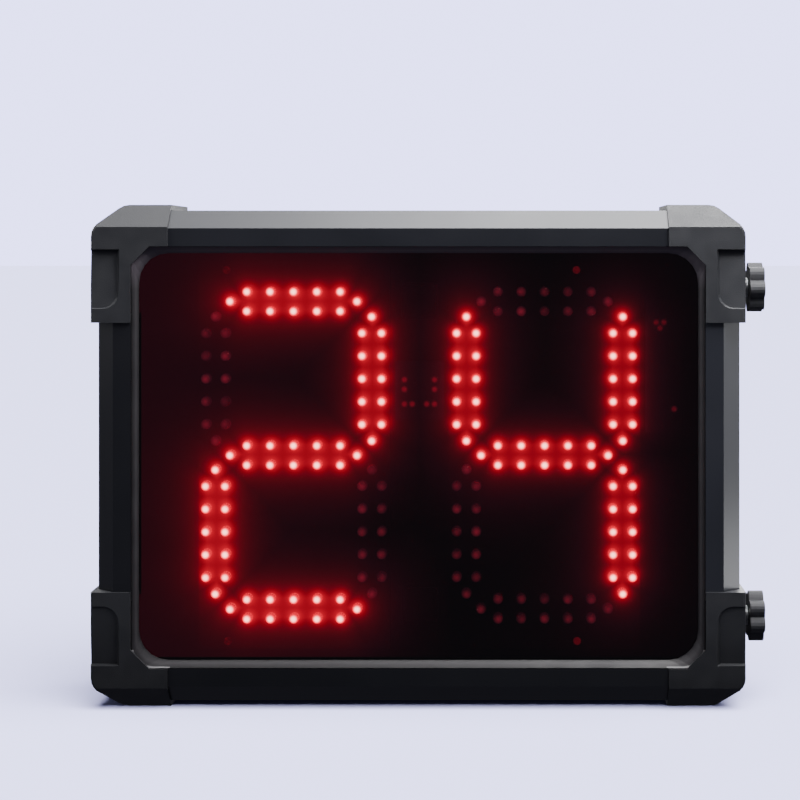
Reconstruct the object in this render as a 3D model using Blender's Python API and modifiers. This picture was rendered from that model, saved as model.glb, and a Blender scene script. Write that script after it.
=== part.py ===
"""Two-digit shot clock: bevelled aluminium frame, moulded corner caps, lamp boards and a hinged rear door.

Built in the housing's own frame: X to the viewer's right, Y from the front face of the rails towards the
back, Z up from the middle of the display. An empty shifts the whole clock so that the world origin is at
the bottom centre of its box.
"""
from math import cos, pi, radians, sin, tan, tau

import bmesh
import bpy
from mathutils import Matrix, Vector

MM = 0.001
FIT = 0.3 * MM                       # gap kept between pieces that touch

# Frame of extruded rails
RAIL_WIDTH = 500 * MM
RAIL_HEIGHT = 382 * MM
RAIL_DEPTH = 86 * MM
RAIL_BEVEL = 14 * MM                 # 45 degree bevel along every outer front edge
RAIL_FACE = 28 * MM                  # from the outer side to the inner lip
RAIL_WALL = 2 * MM
LIP_DEPTH = 5 * MM
RIB_WALL = 1.5 * MM
SHELF_REACH = 30 * MM                # equipment shelf that the carrier plate is screwed to
SHELF_DEPTH = 30 * MM
REAR_FLANGE = 26 * MM
UPRIGHT_END_GAP = 80 * MM
RAIL_END_GAP = 32 * MM               # the rails stop this far from the outer corner, under the caps

# Corner caps
CAP_SIDE_PROUD = 3 * MM
CAP_TOP_PROUD = 4.5 * MM
CAP_FACE_PROUD = 2.5 * MM
CAP_LEG_ACROSS = 59.5 * MM
CAP_LEG_UP = 91.5 * MM
CAP_BEVEL = 17.5 * MM                # along the top or bottom front edge only
CAP_EDGE_ROUND = 2.2 * MM
CAP_INNER_CHAMFER = 14.5 * MM
CAP_LIP_WIDTH = 14.5 * MM            # of the lip over the rails' back
CAP_CORNER_ACROSS = 22.5 * MM        # of the piece that is cut off the outer corner
CAP_CORNER_UP = 19 * MM
CAP_CORNER_ROUND = 12 * MM
CAP_FRONT_WALL = 4.5 * MM            # how far behind the rails' front the cap is solid at the corner
SCOOP_LOW = 114 * MM                 # finger scoop in the cap's face, heights from the middle
SCOOP_HIGH = 161 * MM
SCOOP_REACH = 23 * MM
SCOOP_ROUND = 12 * MM
SCOOP_DEEP = 4.2 * MM
SCOOP_SHALLOW = 1 * MM
SCOOP_DRAFT = 3 * MM

# Corner brackets inside the caps
BRACKET_OUTER = 4 * MM               # from the outer side of the rails
BRACKET_WIDTH = 14 * MM
BRACKET_UPRIGHT = 98 * MM
BRACKET_LEG = 68 * MM
BRACKET_FRONT = 36 * MM
BRACKET_BACK = 70 * MM
BRACKET_GUSSET = 12 * MM

# Window, bead and gasket, as insets from the outer side of the rails
BEAD_INNER = 33.2 * MM
BEAD_HOOK = 26.5 * MM
BEAD_INNER_RADIUS = 23 * MM
BEAD_OUTER_RADIUS = 15 * MM
BEAD_THICKNESS = 1 * MM
WINDOW_INSET = 20 * MM
WINDOW_THICKNESS = 3 * MM
WINDOW_RADIUS = 14 * MM
GASKET_WIDTH = 5 * MM
GASKET_THICKNESS = 1.5 * MM

# Lamp boards: each digit is seven segments of twelve lamps
DIGIT_CENTRE = 97.9 * MM
DIGIT_HALF = 120 * MM                # centre line of the top and bottom segments
DIGIT_SIDE = 61 * MM                 # centre line of the upright segments
LAMP_ROW_HALF = 7.6 * MM             # half the distance between the two rows of a segment
LAMP_PITCH_ACROSS = 18.2 * MM
LAMP_PITCH_UP = 17.8 * MM
LAMPS_PER_ROW = 5
LAMP_END_ACROSS = 49.5 * MM
LAMP_END_LOW = 11.5 * MM
LAMP_END_HIGH = 108.3 * MM
UPRIGHT_MIDDLE = 59.7 * MM
LAMP_RADIUS = 3.8 * MM
LAMP_LENGTH = 7.6 * MM
BOARD_FRONT = 21 * MM
BOARD_THICKNESS = 1.6 * MM
DIGIT_BOARD = (150 * MM, 304 * MM)
PILLAR_RADIUS = 3 * MM
PLATE_THICKNESS = 1.5 * MM

# Rear door
DOOR_THICKNESS = 1.5 * MM
DOOR_RISE = 5 * MM                   # the middle of the door is pressed out by this much
DOOR_RIM = 28 * MM
DOOR_SLOPE = 8 * MM
DOOR_LEFT = -246 * MM
DOOR_RIGHT = 247 * MM
DOOR_HALF_HEIGHT = 186 * MM
SEAL_THICKNESS = 2.2 * MM
SEAL_WIDTH = 8 * MM
HINGE_AXIS_X = -253.6 * MM
HINGE_AXIS_Y = 62 * MM
HINGE_FLANGE_HALF = 98 * MM
EAR_GAP = 0.7 * MM
EAR_HALF_HEIGHT = 15 * MM
EAR_TIP_AHEAD = 8.5 * MM             # the fork reaches this far ahead of the stud
SLOT_WIDTH = 9 * MM

# Star knobs and the studs they turn
KNOB_HEIGHT = 130.4 * MM             # above and below the middle
KNOB_DEPTH = 43 * MM
KNOB_TIP = 271.8 * MM
KNOB_THICKNESS = 11.6 * MM
KNOB_RADIUS = 20 * MM
KNOB_VALLEY = 16.2 * MM
KNOB_LOBES = 7
STUD_RADIUS = 3.9 * MM
STUD_CLEARANCE = 0.35 * MM
COLLAR_RADIUS = 7.5 * MM
COLLAR_LENGTH = 2.1 * MM
WASHER_RADIUS = 10 * MM
WASHER_THICKNESS = 1.5 * MM
WASHER_GAP = 0.8 * MM
INSERT_RADIUS = 6 * MM

HALF_WIDTH = RAIL_WIDTH / 2
HALF_HEIGHT = RAIL_HEIGHT / 2
CAP_SIDE = HALF_WIDTH + CAP_SIDE_PROUD
CAP_TOP = HALF_HEIGHT + CAP_TOP_PROUD
CAP_BACK = RAIL_DEPTH + CAP_FACE_PROUD
DOOR_INSIDE = CAP_BACK + FIT


# Scene, materials and small helpers

def clear_scene():
    for old in list(bpy.data.objects):
        bpy.data.objects.remove(old, do_unlink=True)
    for old in list(bpy.data.collections):
        bpy.data.collections.remove(old)


def new_collection(name):
    group = bpy.data.collections.new(name)
    bpy.context.scene.collection.children.link(group)
    return group


clear_scene()
PARTS = new_collection("basketball_scoreboard")
CUTTERS = new_collection("cutters")
CLOCK = bpy.data.objects.new("clock_centre", None)
PARTS.objects.link(CLOCK)


def material(name, colour, roughness, metallic=0.0):
    made = bpy.data.materials.new(name)
    made.use_nodes = True
    shader = made.node_tree.nodes["Principled BSDF"]
    shader.inputs["Base Color"].default_value = (*colour, 1.0)
    shader.inputs["Roughness"].default_value = roughness
    shader.inputs["Metallic"].default_value = metallic
    made.diffuse_color = (*colour, 1.0)
    return made


ANODISED = material("dark_anodised", (0.035, 0.042, 0.055), 0.4, 0.8)
MOULDED = material("black_moulding", (0.03, 0.032, 0.036), 0.45)
CAST = material("cast_alloy", (0.4, 0.41, 0.42), 0.5, 1.0)
BEAD = material("bead_plastic", (0.05, 0.05, 0.055), 0.35)
TINTED = material("tinted_acrylic", (0.03, 0.005, 0.008), 0.08)
FOAM = material("black_foam", (0.02, 0.02, 0.02), 0.9)
BLACK_METAL = material("black_sheet", (0.02, 0.02, 0.022), 0.5, 0.3)
LAMP_BOARD = material("lamp_board", (0.12, 0.01, 0.015), 0.5)
BOARD = material("green_board", (0.02, 0.12, 0.05), 0.5)
SHEET = material("powder_coated_sheet", (0.05, 0.052, 0.058), 0.55, 0.2)
ZINC = material("zinc_plate", (0.6, 0.6, 0.62), 0.3, 1.0)
BRASS = material("brass", (0.7, 0.5, 0.2), 0.35, 1.0)
GLOSSY = material("glossy_black", (0.02, 0.02, 0.024), 0.2)
CASING = material("perforated_casing", (0.5, 0.5, 0.52), 0.4, 1.0)


def add_part(name, mesh, finish, matrix=None, home=PARTS):
    mesh.name = name
    mesh.materials.clear()
    if finish is not None:
        mesh.materials.append(finish)
    part = bpy.data.objects.new(name, mesh)
    home.objects.link(part)
    part.parent = CLOCK
    if matrix is not None:
        part.matrix_basis = matrix
    return part


def add_cutter(name, mesh, matrix=None):
    cutter = add_part(name, mesh, None, matrix, CUTTERS)
    cutter.hide_render = True
    cutter.display_type = "WIRE"
    return cutter


def boolean(part, tool, operation="DIFFERENCE"):
    change = part.modifiers.new(tool.name, "BOOLEAN")
    change.object = tool
    change.operation = operation
    change.solver = "EXACT"


def smooth(part, degrees=35):
    part.data.shade_smooth()
    part.data.set_sharp_from_angle(angle=radians(degrees))


def mesh_of(shape):
    made = bpy.data.meshes.new("shape")
    bmesh.ops.recalc_face_normals(shape, faces=shape.faces)
    shape.to_mesh(made)
    shape.free()
    return made


def at(x, y, z, turn=None):
    """Place a piece at x, y, z, turned by a rotation matrix when one is given."""
    place = Matrix.Translation((x, y, z))
    return place if turn is None else place @ turn.to_4x4()


def axes_turn(local_x, local_y, local_z):
    """Rotation that sends a piece's own axes along the three given directions."""
    return Matrix((local_x, local_y, local_z)).transposed()


FACING = axes_turn((1, 0, 0), (0, 0, 1), (0, -1, 0))      # a flat outline seen from the front
SIDEWAYS = axes_turn((0, 0, 1), (0, 1, 0), (-1, 0, 0))    # a turned shape with its axis along X


def block(size, centre=(0, 0, 0)):
    shape = bmesh.new()
    bmesh.ops.create_cube(shape, size=1)
    bmesh.ops.scale(shape, vec=size, verts=shape.verts)
    bmesh.ops.translate(shape, vec=centre, verts=shape.verts)
    return mesh_of(shape)


def rod(radius, length, sides=24, radius_end=None, centre=(0, 0, 0)):
    """A round bar along its own Z, with flat ends."""
    shape = bmesh.new()
    end = radius if radius_end is None else radius_end
    bmesh.ops.create_cone(shape, cap_ends=True, segments=sides, radius1=radius, radius2=end, depth=length)
    bmesh.ops.translate(shape, vec=centre, verts=shape.verts)
    return mesh_of(shape)


def arc(centre, radius, start, end, steps):
    """Points on a circle's arc, from one angle to another in degrees."""
    angles = [radians(start + (end - start) * k / steps) for k in range(steps + 1)]
    return [(centre[0] + radius * cos(a), centre[1] + radius * sin(a)) for a in angles]


def filleted(points, radii):
    """A closed outline, given anticlockwise, with each of its corners rounded to its own radius."""
    rounded = []
    for k, (corner, radius) in enumerate(zip(points, radii)):
        here = Vector(corner)
        back = (Vector(points[k - 1]) - here).normalized()
        ahead = (Vector(points[(k + 1) % len(points)]) - here).normalized()
        if radius == 0:
            rounded.append(corner)
            continue
        half_angle = back.angle(ahead) / 2
        middle = here + (back + ahead).normalized() * radius / sin(half_angle)
        start = here + back * radius / tan(half_angle) - middle
        turn = pi - 2 * half_angle
        steps = max(2, round(turn / radians(18)))
        for step in range(steps + 1):
            offset = Matrix.Rotation(turn * step / steps, 2) @ start
            rounded.append(tuple(middle + offset))
    return rounded


def rounded_rectangle(width, height, radius, steps=5):
    x = width / 2 - radius
    y = height / 2 - radius
    corners = (((x, y), 0), ((-x, y), 90), ((-x, -y), 180), ((x, -y), 270))
    return [point for centre, turn in corners for point in arc(centre, radius, turn, turn + 90, steps)]


def slot_outline(length, width, steps=4):
    """An upright slot with round ends."""
    half = (length - width) / 2
    return arc((0, half), width / 2, 0, 180, steps) + arc((0, -half), width / 2, 180, 360, steps)


def plate(loops, thickness):
    """A flat piece from closed outlines: the first is its edge and the others are holes."""
    outline = bpy.data.curves.new("outline", "CURVE")
    outline.dimensions = "2D"
    outline.fill_mode = "BOTH"
    outline.extrude = thickness / 2
    for loop in loops:
        spline = outline.splines.new("POLY")
        spline.points.add(len(loop) - 1)
        for point, (x, y) in zip(spline.points, loop):
            point.co = (x, y, 0, 1)
        spline.use_cyclic_u = True
    holder = bpy.data.objects.new("outline", outline)
    bpy.context.scene.collection.objects.link(holder)
    graph = bpy.context.evaluated_depsgraph_get()
    made = bpy.data.meshes.new_from_object(holder.evaluated_get(graph))
    bpy.data.objects.remove(holder)
    shape = bmesh.new()
    shape.from_mesh(made)
    bmesh.ops.remove_doubles(shape, verts=shape.verts, dist=0.00001)
    return mesh_of(shape)


def joined(meshes, matrices):
    """One mesh from several, each moved by its own matrix."""
    shape = bmesh.new()
    for mesh, matrix in zip(meshes, matrices):
        piece = bmesh.new()
        piece.from_mesh(mesh)
        piece.transform(matrix)
        moved = bpy.data.meshes.new("moved")
        piece.to_mesh(moved)
        piece.free()
        shape.from_mesh(moved)
        bpy.data.meshes.remove(moved)
    return mesh_of(shape)


# Frame of four extruded rails

BEAD_BACK = LIP_DEPTH + FIT + BEAD_THICKNESS


def rail_section():
    """The extrusion cut across, as depth from the front and distance in from the outer side."""
    wall = RAIL_WALL
    inner_bevel = RAIL_BEVEL + wall * 0.41
    rib_front = BEAD_BACK + WINDOW_THICKNESS + GASKET_THICKNESS + 3 * FIT
    rib_back = rib_front + RIB_WALL
    return [
        (RAIL_DEPTH, 0), (RAIL_BEVEL, 0), (0, RAIL_BEVEL), (0, RAIL_FACE),
        (LIP_DEPTH, RAIL_FACE), (LIP_DEPTH, RAIL_FACE - wall), (wall, RAIL_FACE - wall),
        (wall, inner_bevel), (rib_front, inner_bevel - (rib_front - wall)), (rib_front, REAR_FLANGE),
        (rib_back, REAR_FLANGE), (rib_back, inner_bevel - (rib_back - wall)), (inner_bevel, wall),
        (SHELF_DEPTH, wall), (SHELF_DEPTH, SHELF_REACH),
        (SHELF_DEPTH + wall, SHELF_REACH), (SHELF_DEPTH + wall, wall),
        (RAIL_DEPTH - wall, wall), (RAIL_DEPTH - wall, REAR_FLANGE), (RAIL_DEPTH, REAR_FLANGE),
    ]


def rails():
    across = plate([rail_section()], RAIL_WIDTH - 2 * RAIL_END_GAP)
    upright = plate([rail_section()], RAIL_HEIGHT - 2 * UPRIGHT_END_GAP)
    back = (0, 1, 0)
    add_part("top_rail", across, ANODISED, at(0, 0, HALF_HEIGHT, axes_turn(back, (0, 0, -1), (-1, 0, 0))))
    add_part("bottom_rail", across.copy(), ANODISED,
             at(0, 0, -HALF_HEIGHT, axes_turn(back, (0, 0, 1), (1, 0, 0))))
    add_part("left_rail", upright, ANODISED, at(-HALF_WIDTH, 0, 0, axes_turn(back, (1, 0, 0), (0, 0, -1))))
    add_part("right_rail", upright.copy(), ANODISED, at(HALF_WIDTH, 0, 0, axes_turn(back, (-1, 0, 0), (0, 0, 1))))


def stud_hole(name, side):
    reach = 30 * MM
    hole = rod(STUD_RADIUS + 2 * STUD_CLEARANCE, reach)
    label = name + ("_upper" if side > 0 else "_lower")
    return add_cutter(label, hole, at(HALF_WIDTH, KNOB_DEPTH, side * KNOB_HEIGHT, SIDEWAYS))


# Moulded corner caps

def cap_outline():
    """The cap seen from the front, for the top right corner: its outer corner is cut off and rounded."""
    left = CAP_SIDE - CAP_LEG_ACROSS
    low = CAP_TOP - CAP_LEG_UP
    inner_x = HALF_WIDTH - RAIL_FACE
    inner_z = HALF_HEIGHT - RAIL_FACE
    points = [(left, inner_z), (inner_x - CAP_INNER_CHAMFER, inner_z), (inner_x, inner_z - CAP_INNER_CHAMFER),
              (inner_x, low), (CAP_SIDE, low), (CAP_SIDE, CAP_TOP - CAP_CORNER_UP),
              (CAP_SIDE - CAP_CORNER_ACROSS, CAP_TOP), (left, CAP_TOP)]
    return filleted(points, (0, 0, 0, 0, 0, CAP_CORNER_ROUND, CAP_CORNER_ROUND, 0))


def cap_body():
    """The cap's outer solid, its long side edges rounded."""
    depth = CAP_BACK + CAP_FACE_PROUD
    shape = bmesh.new()
    shape.from_mesh(plate([cap_outline()], depth))
    corner_start = CAP_SIDE - CAP_CORNER_ACROSS - CAP_CORNER_ROUND

    def on_outer_side(vert):
        on_corner = vert.co.x > corner_start and vert.co.y > CAP_TOP - CAP_CORNER_UP - CAP_CORNER_ROUND
        return on_corner or vert.co.x > CAP_SIDE - 0.1 * MM

    long_edges = [edge for edge in shape.edges
                  if abs(edge.verts[0].co.z - edge.verts[1].co.z) < 0.01 * MM
                  and all(on_outer_side(vert) for vert in edge.verts)
                  and edge.calc_face_angle(0) > radians(60)]
    bmesh.ops.bevel(shape, geom=long_edges, offset=CAP_EDGE_ROUND, segments=2, profile=0.5,
                    affect="EDGES", clamp_overlap=True)
    shape.transform(at(0, (CAP_BACK - CAP_FACE_PROUD) / 2, 0, FACING))
    return shape


def rail_envelope(front, gap):
    """The space inside a top right cap from the given depth back, a gap wider than the bevelled rails."""
    reach = 160 * MM
    x = HALF_WIDTH + gap
    z = HALF_HEIGHT + gap
    cut_x = CAP_CORNER_ACROSS - 3 * MM
    cut_z = CAP_CORNER_UP - 3 * MM
    points = [(x - reach, z - reach), (x, z - reach), (x, z - cut_z), (x - cut_x, z), (x - reach, z)]
    round_inside = CAP_CORNER_ROUND + 3 * MM
    outline = filleted(points, (0, 0, round_inside, round_inside, 0))
    shape = bmesh.new()
    back = RAIL_DEPTH + gap
    shape.from_mesh(plate([outline], back - front))

    def outer_front(vert):
        on_corner = vert.co.x > x - reach + MM and vert.co.y > z - reach + MM
        return vert.co.z > 0 and (on_corner or vert.co.x > x - 0.1 * MM or vert.co.y > z - 0.1 * MM)

    edges = [edge for edge in shape.edges
             if all(outer_front(vert) for vert in edge.verts) and edge.calc_face_angle(0) > radians(60)]
    bevel = RAIL_BEVEL + 0.6 * gap - (front + gap)
    bmesh.ops.bevel(shape, geom=edges, offset=bevel, segments=1, affect="EDGES")
    shape.transform(at(0, (front + back) / 2, 0, FACING))
    return shape


def clipped(shape, point, outward):
    """The part of a closed shape behind a plane, closed again."""
    everything = shape.verts[:] + shape.edges[:] + shape.faces[:]
    bmesh.ops.bisect_plane(shape, geom=everything, plane_co=point, plane_no=outward, clear_outer=True)
    bmesh.ops.holes_fill(shape, edges=[edge for edge in shape.edges if edge.is_boundary])
    return shape


def window_room():
    """The space behind the cap's front for the corner of the bead and the window."""
    reach = 160 * MM
    inset = WINDOW_INSET - 1.2 * MM
    shape = bmesh.new()
    shape.from_mesh(block((reach, CAP_FRONT_WALL + 2 * FIT, reach)))
    corner = (HALF_WIDTH - inset - reach / 2, CAP_FRONT_WALL / 2, HALF_HEIGHT - inset - reach / 2)
    bmesh.ops.translate(shape, vec=corner, verts=shape.verts)
    return shape


def cap_bevel_tool():
    """A tilted block whose face is the bevel along the cap's top front edge."""
    size = 400 * MM
    shape = bmesh.new()
    bmesh.ops.create_cube(shape, size=size)
    tilt = Matrix.Rotation(radians(45), 3, "X")
    bmesh.ops.rotate(shape, matrix=tilt, verts=shape.verts)
    outward = Vector((0, -1, 1)).normalized()
    on_bevel = Vector((CAP_SIDE, -CAP_FACE_PROUD, CAP_TOP - CAP_BEVEL))
    bmesh.ops.translate(shape, vec=on_bevel + outward * size / 2, verts=shape.verts)
    return shape


def scoop_tool():
    """The finger scoop: its floor slopes from a deep square end at the corner to a shallow rounded one."""
    inner = CAP_SIDE - SCOOP_REACH
    outer = CAP_SIDE + SCOOP_REACH
    corners = [(inner, SCOOP_HIGH), (inner, SCOOP_LOW), (outer, SCOOP_LOW), (outer, SCOOP_HIGH)]
    shape = bmesh.new()
    shape.from_mesh(plate([filleted(corners, (0, SCOOP_ROUND, 0, 0))], 2 * MM))
    for vert in shape.verts:
        if vert.co.z < 0:
            along = (vert.co.y - SCOOP_LOW) / (SCOOP_HIGH - SCOOP_LOW)
            vert.co.z = -(SCOOP_SHALLOW + (SCOOP_DEEP - SCOOP_SHALLOW) * along)
            vert.co.x += SCOOP_DRAFT * (outer - vert.co.x) / (outer - inner)
            vert.co.y += SCOOP_DRAFT * (0.5 - along)
    shape.transform(at(0, -CAP_FACE_PROUD, 0, FACING))
    return shape


def rear_ledge_tool():
    """Leaves only a narrow lip of the cap over the rails' back, so that the door's seal fits inside it."""
    reach = 160 * MM
    inner = CAP_LIP_WIDTH
    shape = bmesh.new()
    bmesh.ops.create_cube(shape, size=1)
    bmesh.ops.scale(shape, vec=(reach, RAIL_DEPTH, reach), verts=shape.verts)
    corner = Vector((HALF_WIDTH - inner - reach / 2, RAIL_DEPTH, HALF_HEIGHT - inner - reach / 2))
    bmesh.ops.translate(shape, vec=corner, verts=shape.verts)
    return shape


def mirrored(shape, side_x, side_z):
    bmesh.ops.scale(shape, vec=(side_x, 1, side_z), verts=shape.verts)
    return mesh_of(shape)


def corner_cap(corner, side_x, side_z):
    cap = add_part("corner_cap_" + corner, mirrored(cap_body(), side_x, side_z), MOULDED)
    level_end = (HALF_WIDTH - RAIL_END_GAP + FIT, 0, 0)
    upright_end = (0, 0, HALF_HEIGHT - UPRIGHT_END_GAP + FIT)
    tools = (("bevel", cap_bevel_tool()), ("inside", rail_envelope(CAP_FRONT_WALL, FIT)),
             ("level", clipped(rail_envelope(-1.1 * FIT, 1.1 * FIT), level_end, (1, 0, 0))),
             ("upright", clipped(rail_envelope(-1.2 * FIT, 1.2 * FIT), upright_end, (0, 0, 1))),
             ("window_room", window_room()), ("scoop", scoop_tool()), ("ledge", rear_ledge_tool()))
    for label, shape in tools:
        boolean(cap, add_cutter(corner + "_" + label, mirrored(shape, side_x, side_z)))
    if side_x > 0:
        boolean(cap, stud_hole("corner_cap_hole", side_z))
    smooth(cap)


# Cast corner brackets

def corner_bracket(corner, side_x, side_z):
    x0 = HALF_WIDTH - BRACKET_OUTER
    z0 = HALF_HEIGHT - BRACKET_OUTER
    x1 = x0 - BRACKET_WIDTH
    z1 = z0 - BRACKET_WIDTH
    nose = 3 * MM
    chamfer = 16 * MM
    outline = [
        (x0 - BRACKET_LEG, z0 - nose), (x0 - BRACKET_LEG, z1), (x1 - BRACKET_GUSSET, z1),
        (x1, z1 - BRACKET_GUSSET), (x1, z0 - BRACKET_UPRIGHT), (x0 - nose, z0 - BRACKET_UPRIGHT),
        (x0, z0 - BRACKET_UPRIGHT + nose), (x0, z0 - chamfer), (x0 - chamfer, z0),
        (x0 - BRACKET_LEG + nose, z0),
    ]
    depth = BRACKET_BACK - BRACKET_FRONT
    shape = bmesh.new()
    shape.from_mesh(plate([outline], depth))
    shape.transform(at(0, (BRACKET_FRONT + BRACKET_BACK) / 2, 0, FACING))
    bracket = add_part("corner_bracket_" + corner, mirrored(shape, side_x, side_z), CAST)
    bore = rod(INSERT_RADIUS + FIT, 2 * BRACKET_WIDTH)
    place = at(side_x * (x0 - BRACKET_WIDTH / 2), KNOB_DEPTH, side_z * KNOB_HEIGHT, SIDEWAYS)
    boolean(bracket, add_cutter(corner + "_insert_bore", bore, place))


# Bead, window and gasket

def inset_outline(inset, radius):
    return rounded_rectangle(RAIL_WIDTH - 2 * inset, RAIL_HEIGHT - 2 * inset, radius)


def window_bead():
    """The sloping frame round the window: one section carried round, its outer corners squarer than its inner."""
    face = RAIL_FACE + FIT
    slope_end = BEAD_INNER - face + FIT
    section = [
        (face, FIT), (BEAD_INNER, slope_end), (BEAD_INNER, BEAD_BACK), (BEAD_HOOK, BEAD_BACK),
        (BEAD_HOOK, BEAD_BACK - BEAD_THICKNESS), (face, BEAD_BACK - BEAD_THICKNESS),
    ]
    shape = bmesh.new()
    rings = []
    for inset, depth in section:
        radius = BEAD_INNER_RADIUS if inset == BEAD_INNER else BEAD_OUTER_RADIUS + RAIL_FACE - inset
        outline = inset_outline(inset, radius)
        corners = [shape.verts.new((x, depth, z)) for x, z in outline]
        rings.append([shape.edges.new((corners[k - 1], corners[k])) for k in range(len(corners))])
    for k in range(len(rings)):
        bmesh.ops.bridge_loops(shape, edges=rings[k - 1] + rings[k])
    smooth(add_part("window_bead", mesh_of(shape), BEAD))


def window_and_gasket():
    front = BEAD_BACK + FIT
    sheet = plate([inset_outline(WINDOW_INSET, WINDOW_RADIUS)], WINDOW_THICKNESS)
    add_part("display_window", sheet, TINTED, at(0, front + WINDOW_THICKNESS / 2, 0, FACING))
    edge = WINDOW_INSET + 0.5 * MM
    ring = plate([inset_outline(edge, WINDOW_RADIUS),
                  inset_outline(edge + GASKET_WIDTH, WINDOW_RADIUS - GASKET_WIDTH)], GASKET_THICKNESS)
    gasket_front = front + WINDOW_THICKNESS + FIT
    add_part("window_gasket", ring, FOAM, at(0, gasket_front + GASKET_THICKNESS / 2, 0, FACING))


# Carrier plate and the boards on its front

PLATE_FRONT = SHELF_DEPTH + RAIL_WALL + FIT
PLATE_BACK = PLATE_FRONT + PLATE_THICKNESS
BOARD_BACK = BOARD_FRONT + BOARD_THICKNESS
CABLE_SLOT = (60 * MM, 12 * MM)
LIGHT_HOLE = 24 * MM


def carrier_plate():
    loops = [inset_outline(WINDOW_INSET, WINDOW_RADIUS)]
    for x in (-DIGIT_CENTRE, DIGIT_CENTRE):
        for z in (-DIGIT_HALF / 2, DIGIT_HALF / 2):
            slot = slot_outline(*CABLE_SLOT)
            loops.append([(x + a, z + b) for a, b in slot])
    for z in (-DIGIT_HALF, DIGIT_HALF):
        loops.append([(a, z + b) for a, b in rounded_rectangle(LIGHT_HOLE, LIGHT_HOLE / 2, 4 * MM, 3)])
    sheet = plate(loops, PLATE_THICKNESS)
    add_part("carrier_plate", sheet, BLACK_METAL, at(0, PLATE_FRONT + PLATE_THICKNESS / 2, 0, FACING))


def segment_lamps(pitch, end):
    """Twelve lamps of one segment along its own first axis: two rows of five and one at each end."""
    span = [pitch * (k - (LAMPS_PER_ROW - 1) / 2) for k in range(LAMPS_PER_ROW)]
    rows = [(along, across) for along in span for across in (-LAMP_ROW_HALF, LAMP_ROW_HALF)]
    return rows + [(-end, 0), (end, 0)]


def digit_lamps():
    """All 84 lamp centres of a digit, as distances from its middle."""
    level = segment_lamps(LAMP_PITCH_ACROSS, LAMP_END_ACROSS)
    upright_end = (LAMP_END_HIGH - LAMP_END_LOW) / 2
    upright = segment_lamps(LAMP_PITCH_UP, upright_end)
    lamps = [(along, z + across) for z in (DIGIT_HALF, 0, -DIGIT_HALF) for along, across in level]
    for x in (-DIGIT_SIDE, DIGIT_SIDE):
        for z in (-UPRIGHT_MIDDLE, UPRIGHT_MIDDLE):
            lamps += [(x + across, z + along) for along, across in upright]
    return lamps


def lamp(radius, length, sides=6):
    """A round lamp with a blunt dome, standing on the board's face along its own Z."""
    body = length * 0.7
    sunk = 0.4 * MM
    shape = bmesh.new()
    bmesh.ops.create_cone(shape, cap_ends=True, segments=sides, radius1=radius, radius2=radius,
                          depth=body + sunk)
    bmesh.ops.translate(shape, vec=(0, 0, (body - sunk) / 2), verts=shape.verts)
    top = [face for face in shape.faces if face.normal.z > 0.9]
    dome = bmesh.ops.extrude_face_region(shape, geom=top)
    bmesh.ops.delete(shape, geom=top, context="FACES_ONLY")
    verts = [item for item in dome["geom"] if isinstance(item, bmesh.types.BMVert)]
    bmesh.ops.translate(shape, vec=(0, 0, length - body), verts=verts)
    bmesh.ops.scale(shape, vec=(0.55, 0.55, 1), verts=verts)
    return mesh_of(shape)


def board_with(name, size, centre, lamps, pillars, lamp_size, finish):
    """A board with its lamps on the front and spacers on the back that stand on the carrier plate."""
    width, height = size
    place = at(centre[0], BOARD_FRONT + BOARD_THICKNESS / 2, centre[1])
    board = add_part(name, block((width, BOARD_THICKNESS, height)), finish, place)
    half = BOARD_THICKNESS / 2
    front = [at(x, -half, z, FACING) for x, z in lamps]
    shared = lamp(*lamp_size)
    boolean(board, add_cutter(name + "_lamps", joined([shared] * len(front), front), place), "UNION")
    reach = PLATE_FRONT - FIT - BOARD_BACK
    spacer = rod(PILLAR_RADIUS, reach + half, 8)
    backs = [at(x, (half + reach) / 2, z, FACING) for x, z in pillars]
    boolean(board, add_cutter(name + "_spacers", joined([spacer] * len(backs), backs), place), "UNION")


def corners(half_x, half_z):
    return [(x, z) for x in (-half_x, half_x) for z in (-half_z, half_z)]


def display_boards():
    width, height = DIGIT_BOARD
    margin = 6 * MM
    pillars = corners(width / 2 - margin, height / 2 - margin) + [(0, DIGIT_HALF / 2), (0, -DIGIT_HALF / 2)]
    for name, side in (("tens", -1), ("units", 1)):
        board_with("digit_board_" + name, DIGIT_BOARD, (side * DIGIT_CENTRE, 0), digit_lamps(), pillars,
                   (LAMP_RADIUS, LAMP_LENGTH), LAMP_BOARD)
    small = (1.6 * MM, 3.2 * MM)
    middle = 50 * MM
    pattern = [(x * 11.8 * MM, z * MM) for x in (-1, 1) for z in (8.6, 1, -10.5)]
    pattern += [(-5.7 * MM, -10.5 * MM), (5.7 * MM, -10.5 * MM)]
    board_with("indicator_board", (38 * MM, 46 * MM), (0, middle), pattern, corners(14 * MM, 18 * MM), small,
               LAMP_BOARD)
    status_x = 191 * MM
    status_z = 69 * MM
    trio = [(-5.5 * MM, 34.5 * MM), (0.5 * MM, 34.5 * MM), (-2.5 * MM, 30 * MM)]
    board_with("status_board", (28 * MM, 104 * MM), (status_x, status_z), trio + [(8.5 * MM, -33.4 * MM)],
               corners(9 * MM, 46 * MM), small, LAMP_BOARD)


# Electronics on the back of the carrier plate

SUPPLY_SIZE = (159 * MM, 30 * MM, 97 * MM)
SUPPLY_PLACE = (-110 * MM, 70 * MM)
TERMINAL_BAY = (18 * MM, 17 * MM)
CONTROL_SIZE = (130 * MM, 90 * MM)
CONTROL_PLACE = (90 * MM, 70 * MM)
CONTROL_LIFT = 8 * MM
SOUNDER_PLACE = (-60 * MM, -70 * MM)
SOUNDER_RADIUS = 34 * MM
SOUNDER_LENGTH = 36 * MM
BACK_OF_PLATE = PLATE_BACK + FIT


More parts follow.
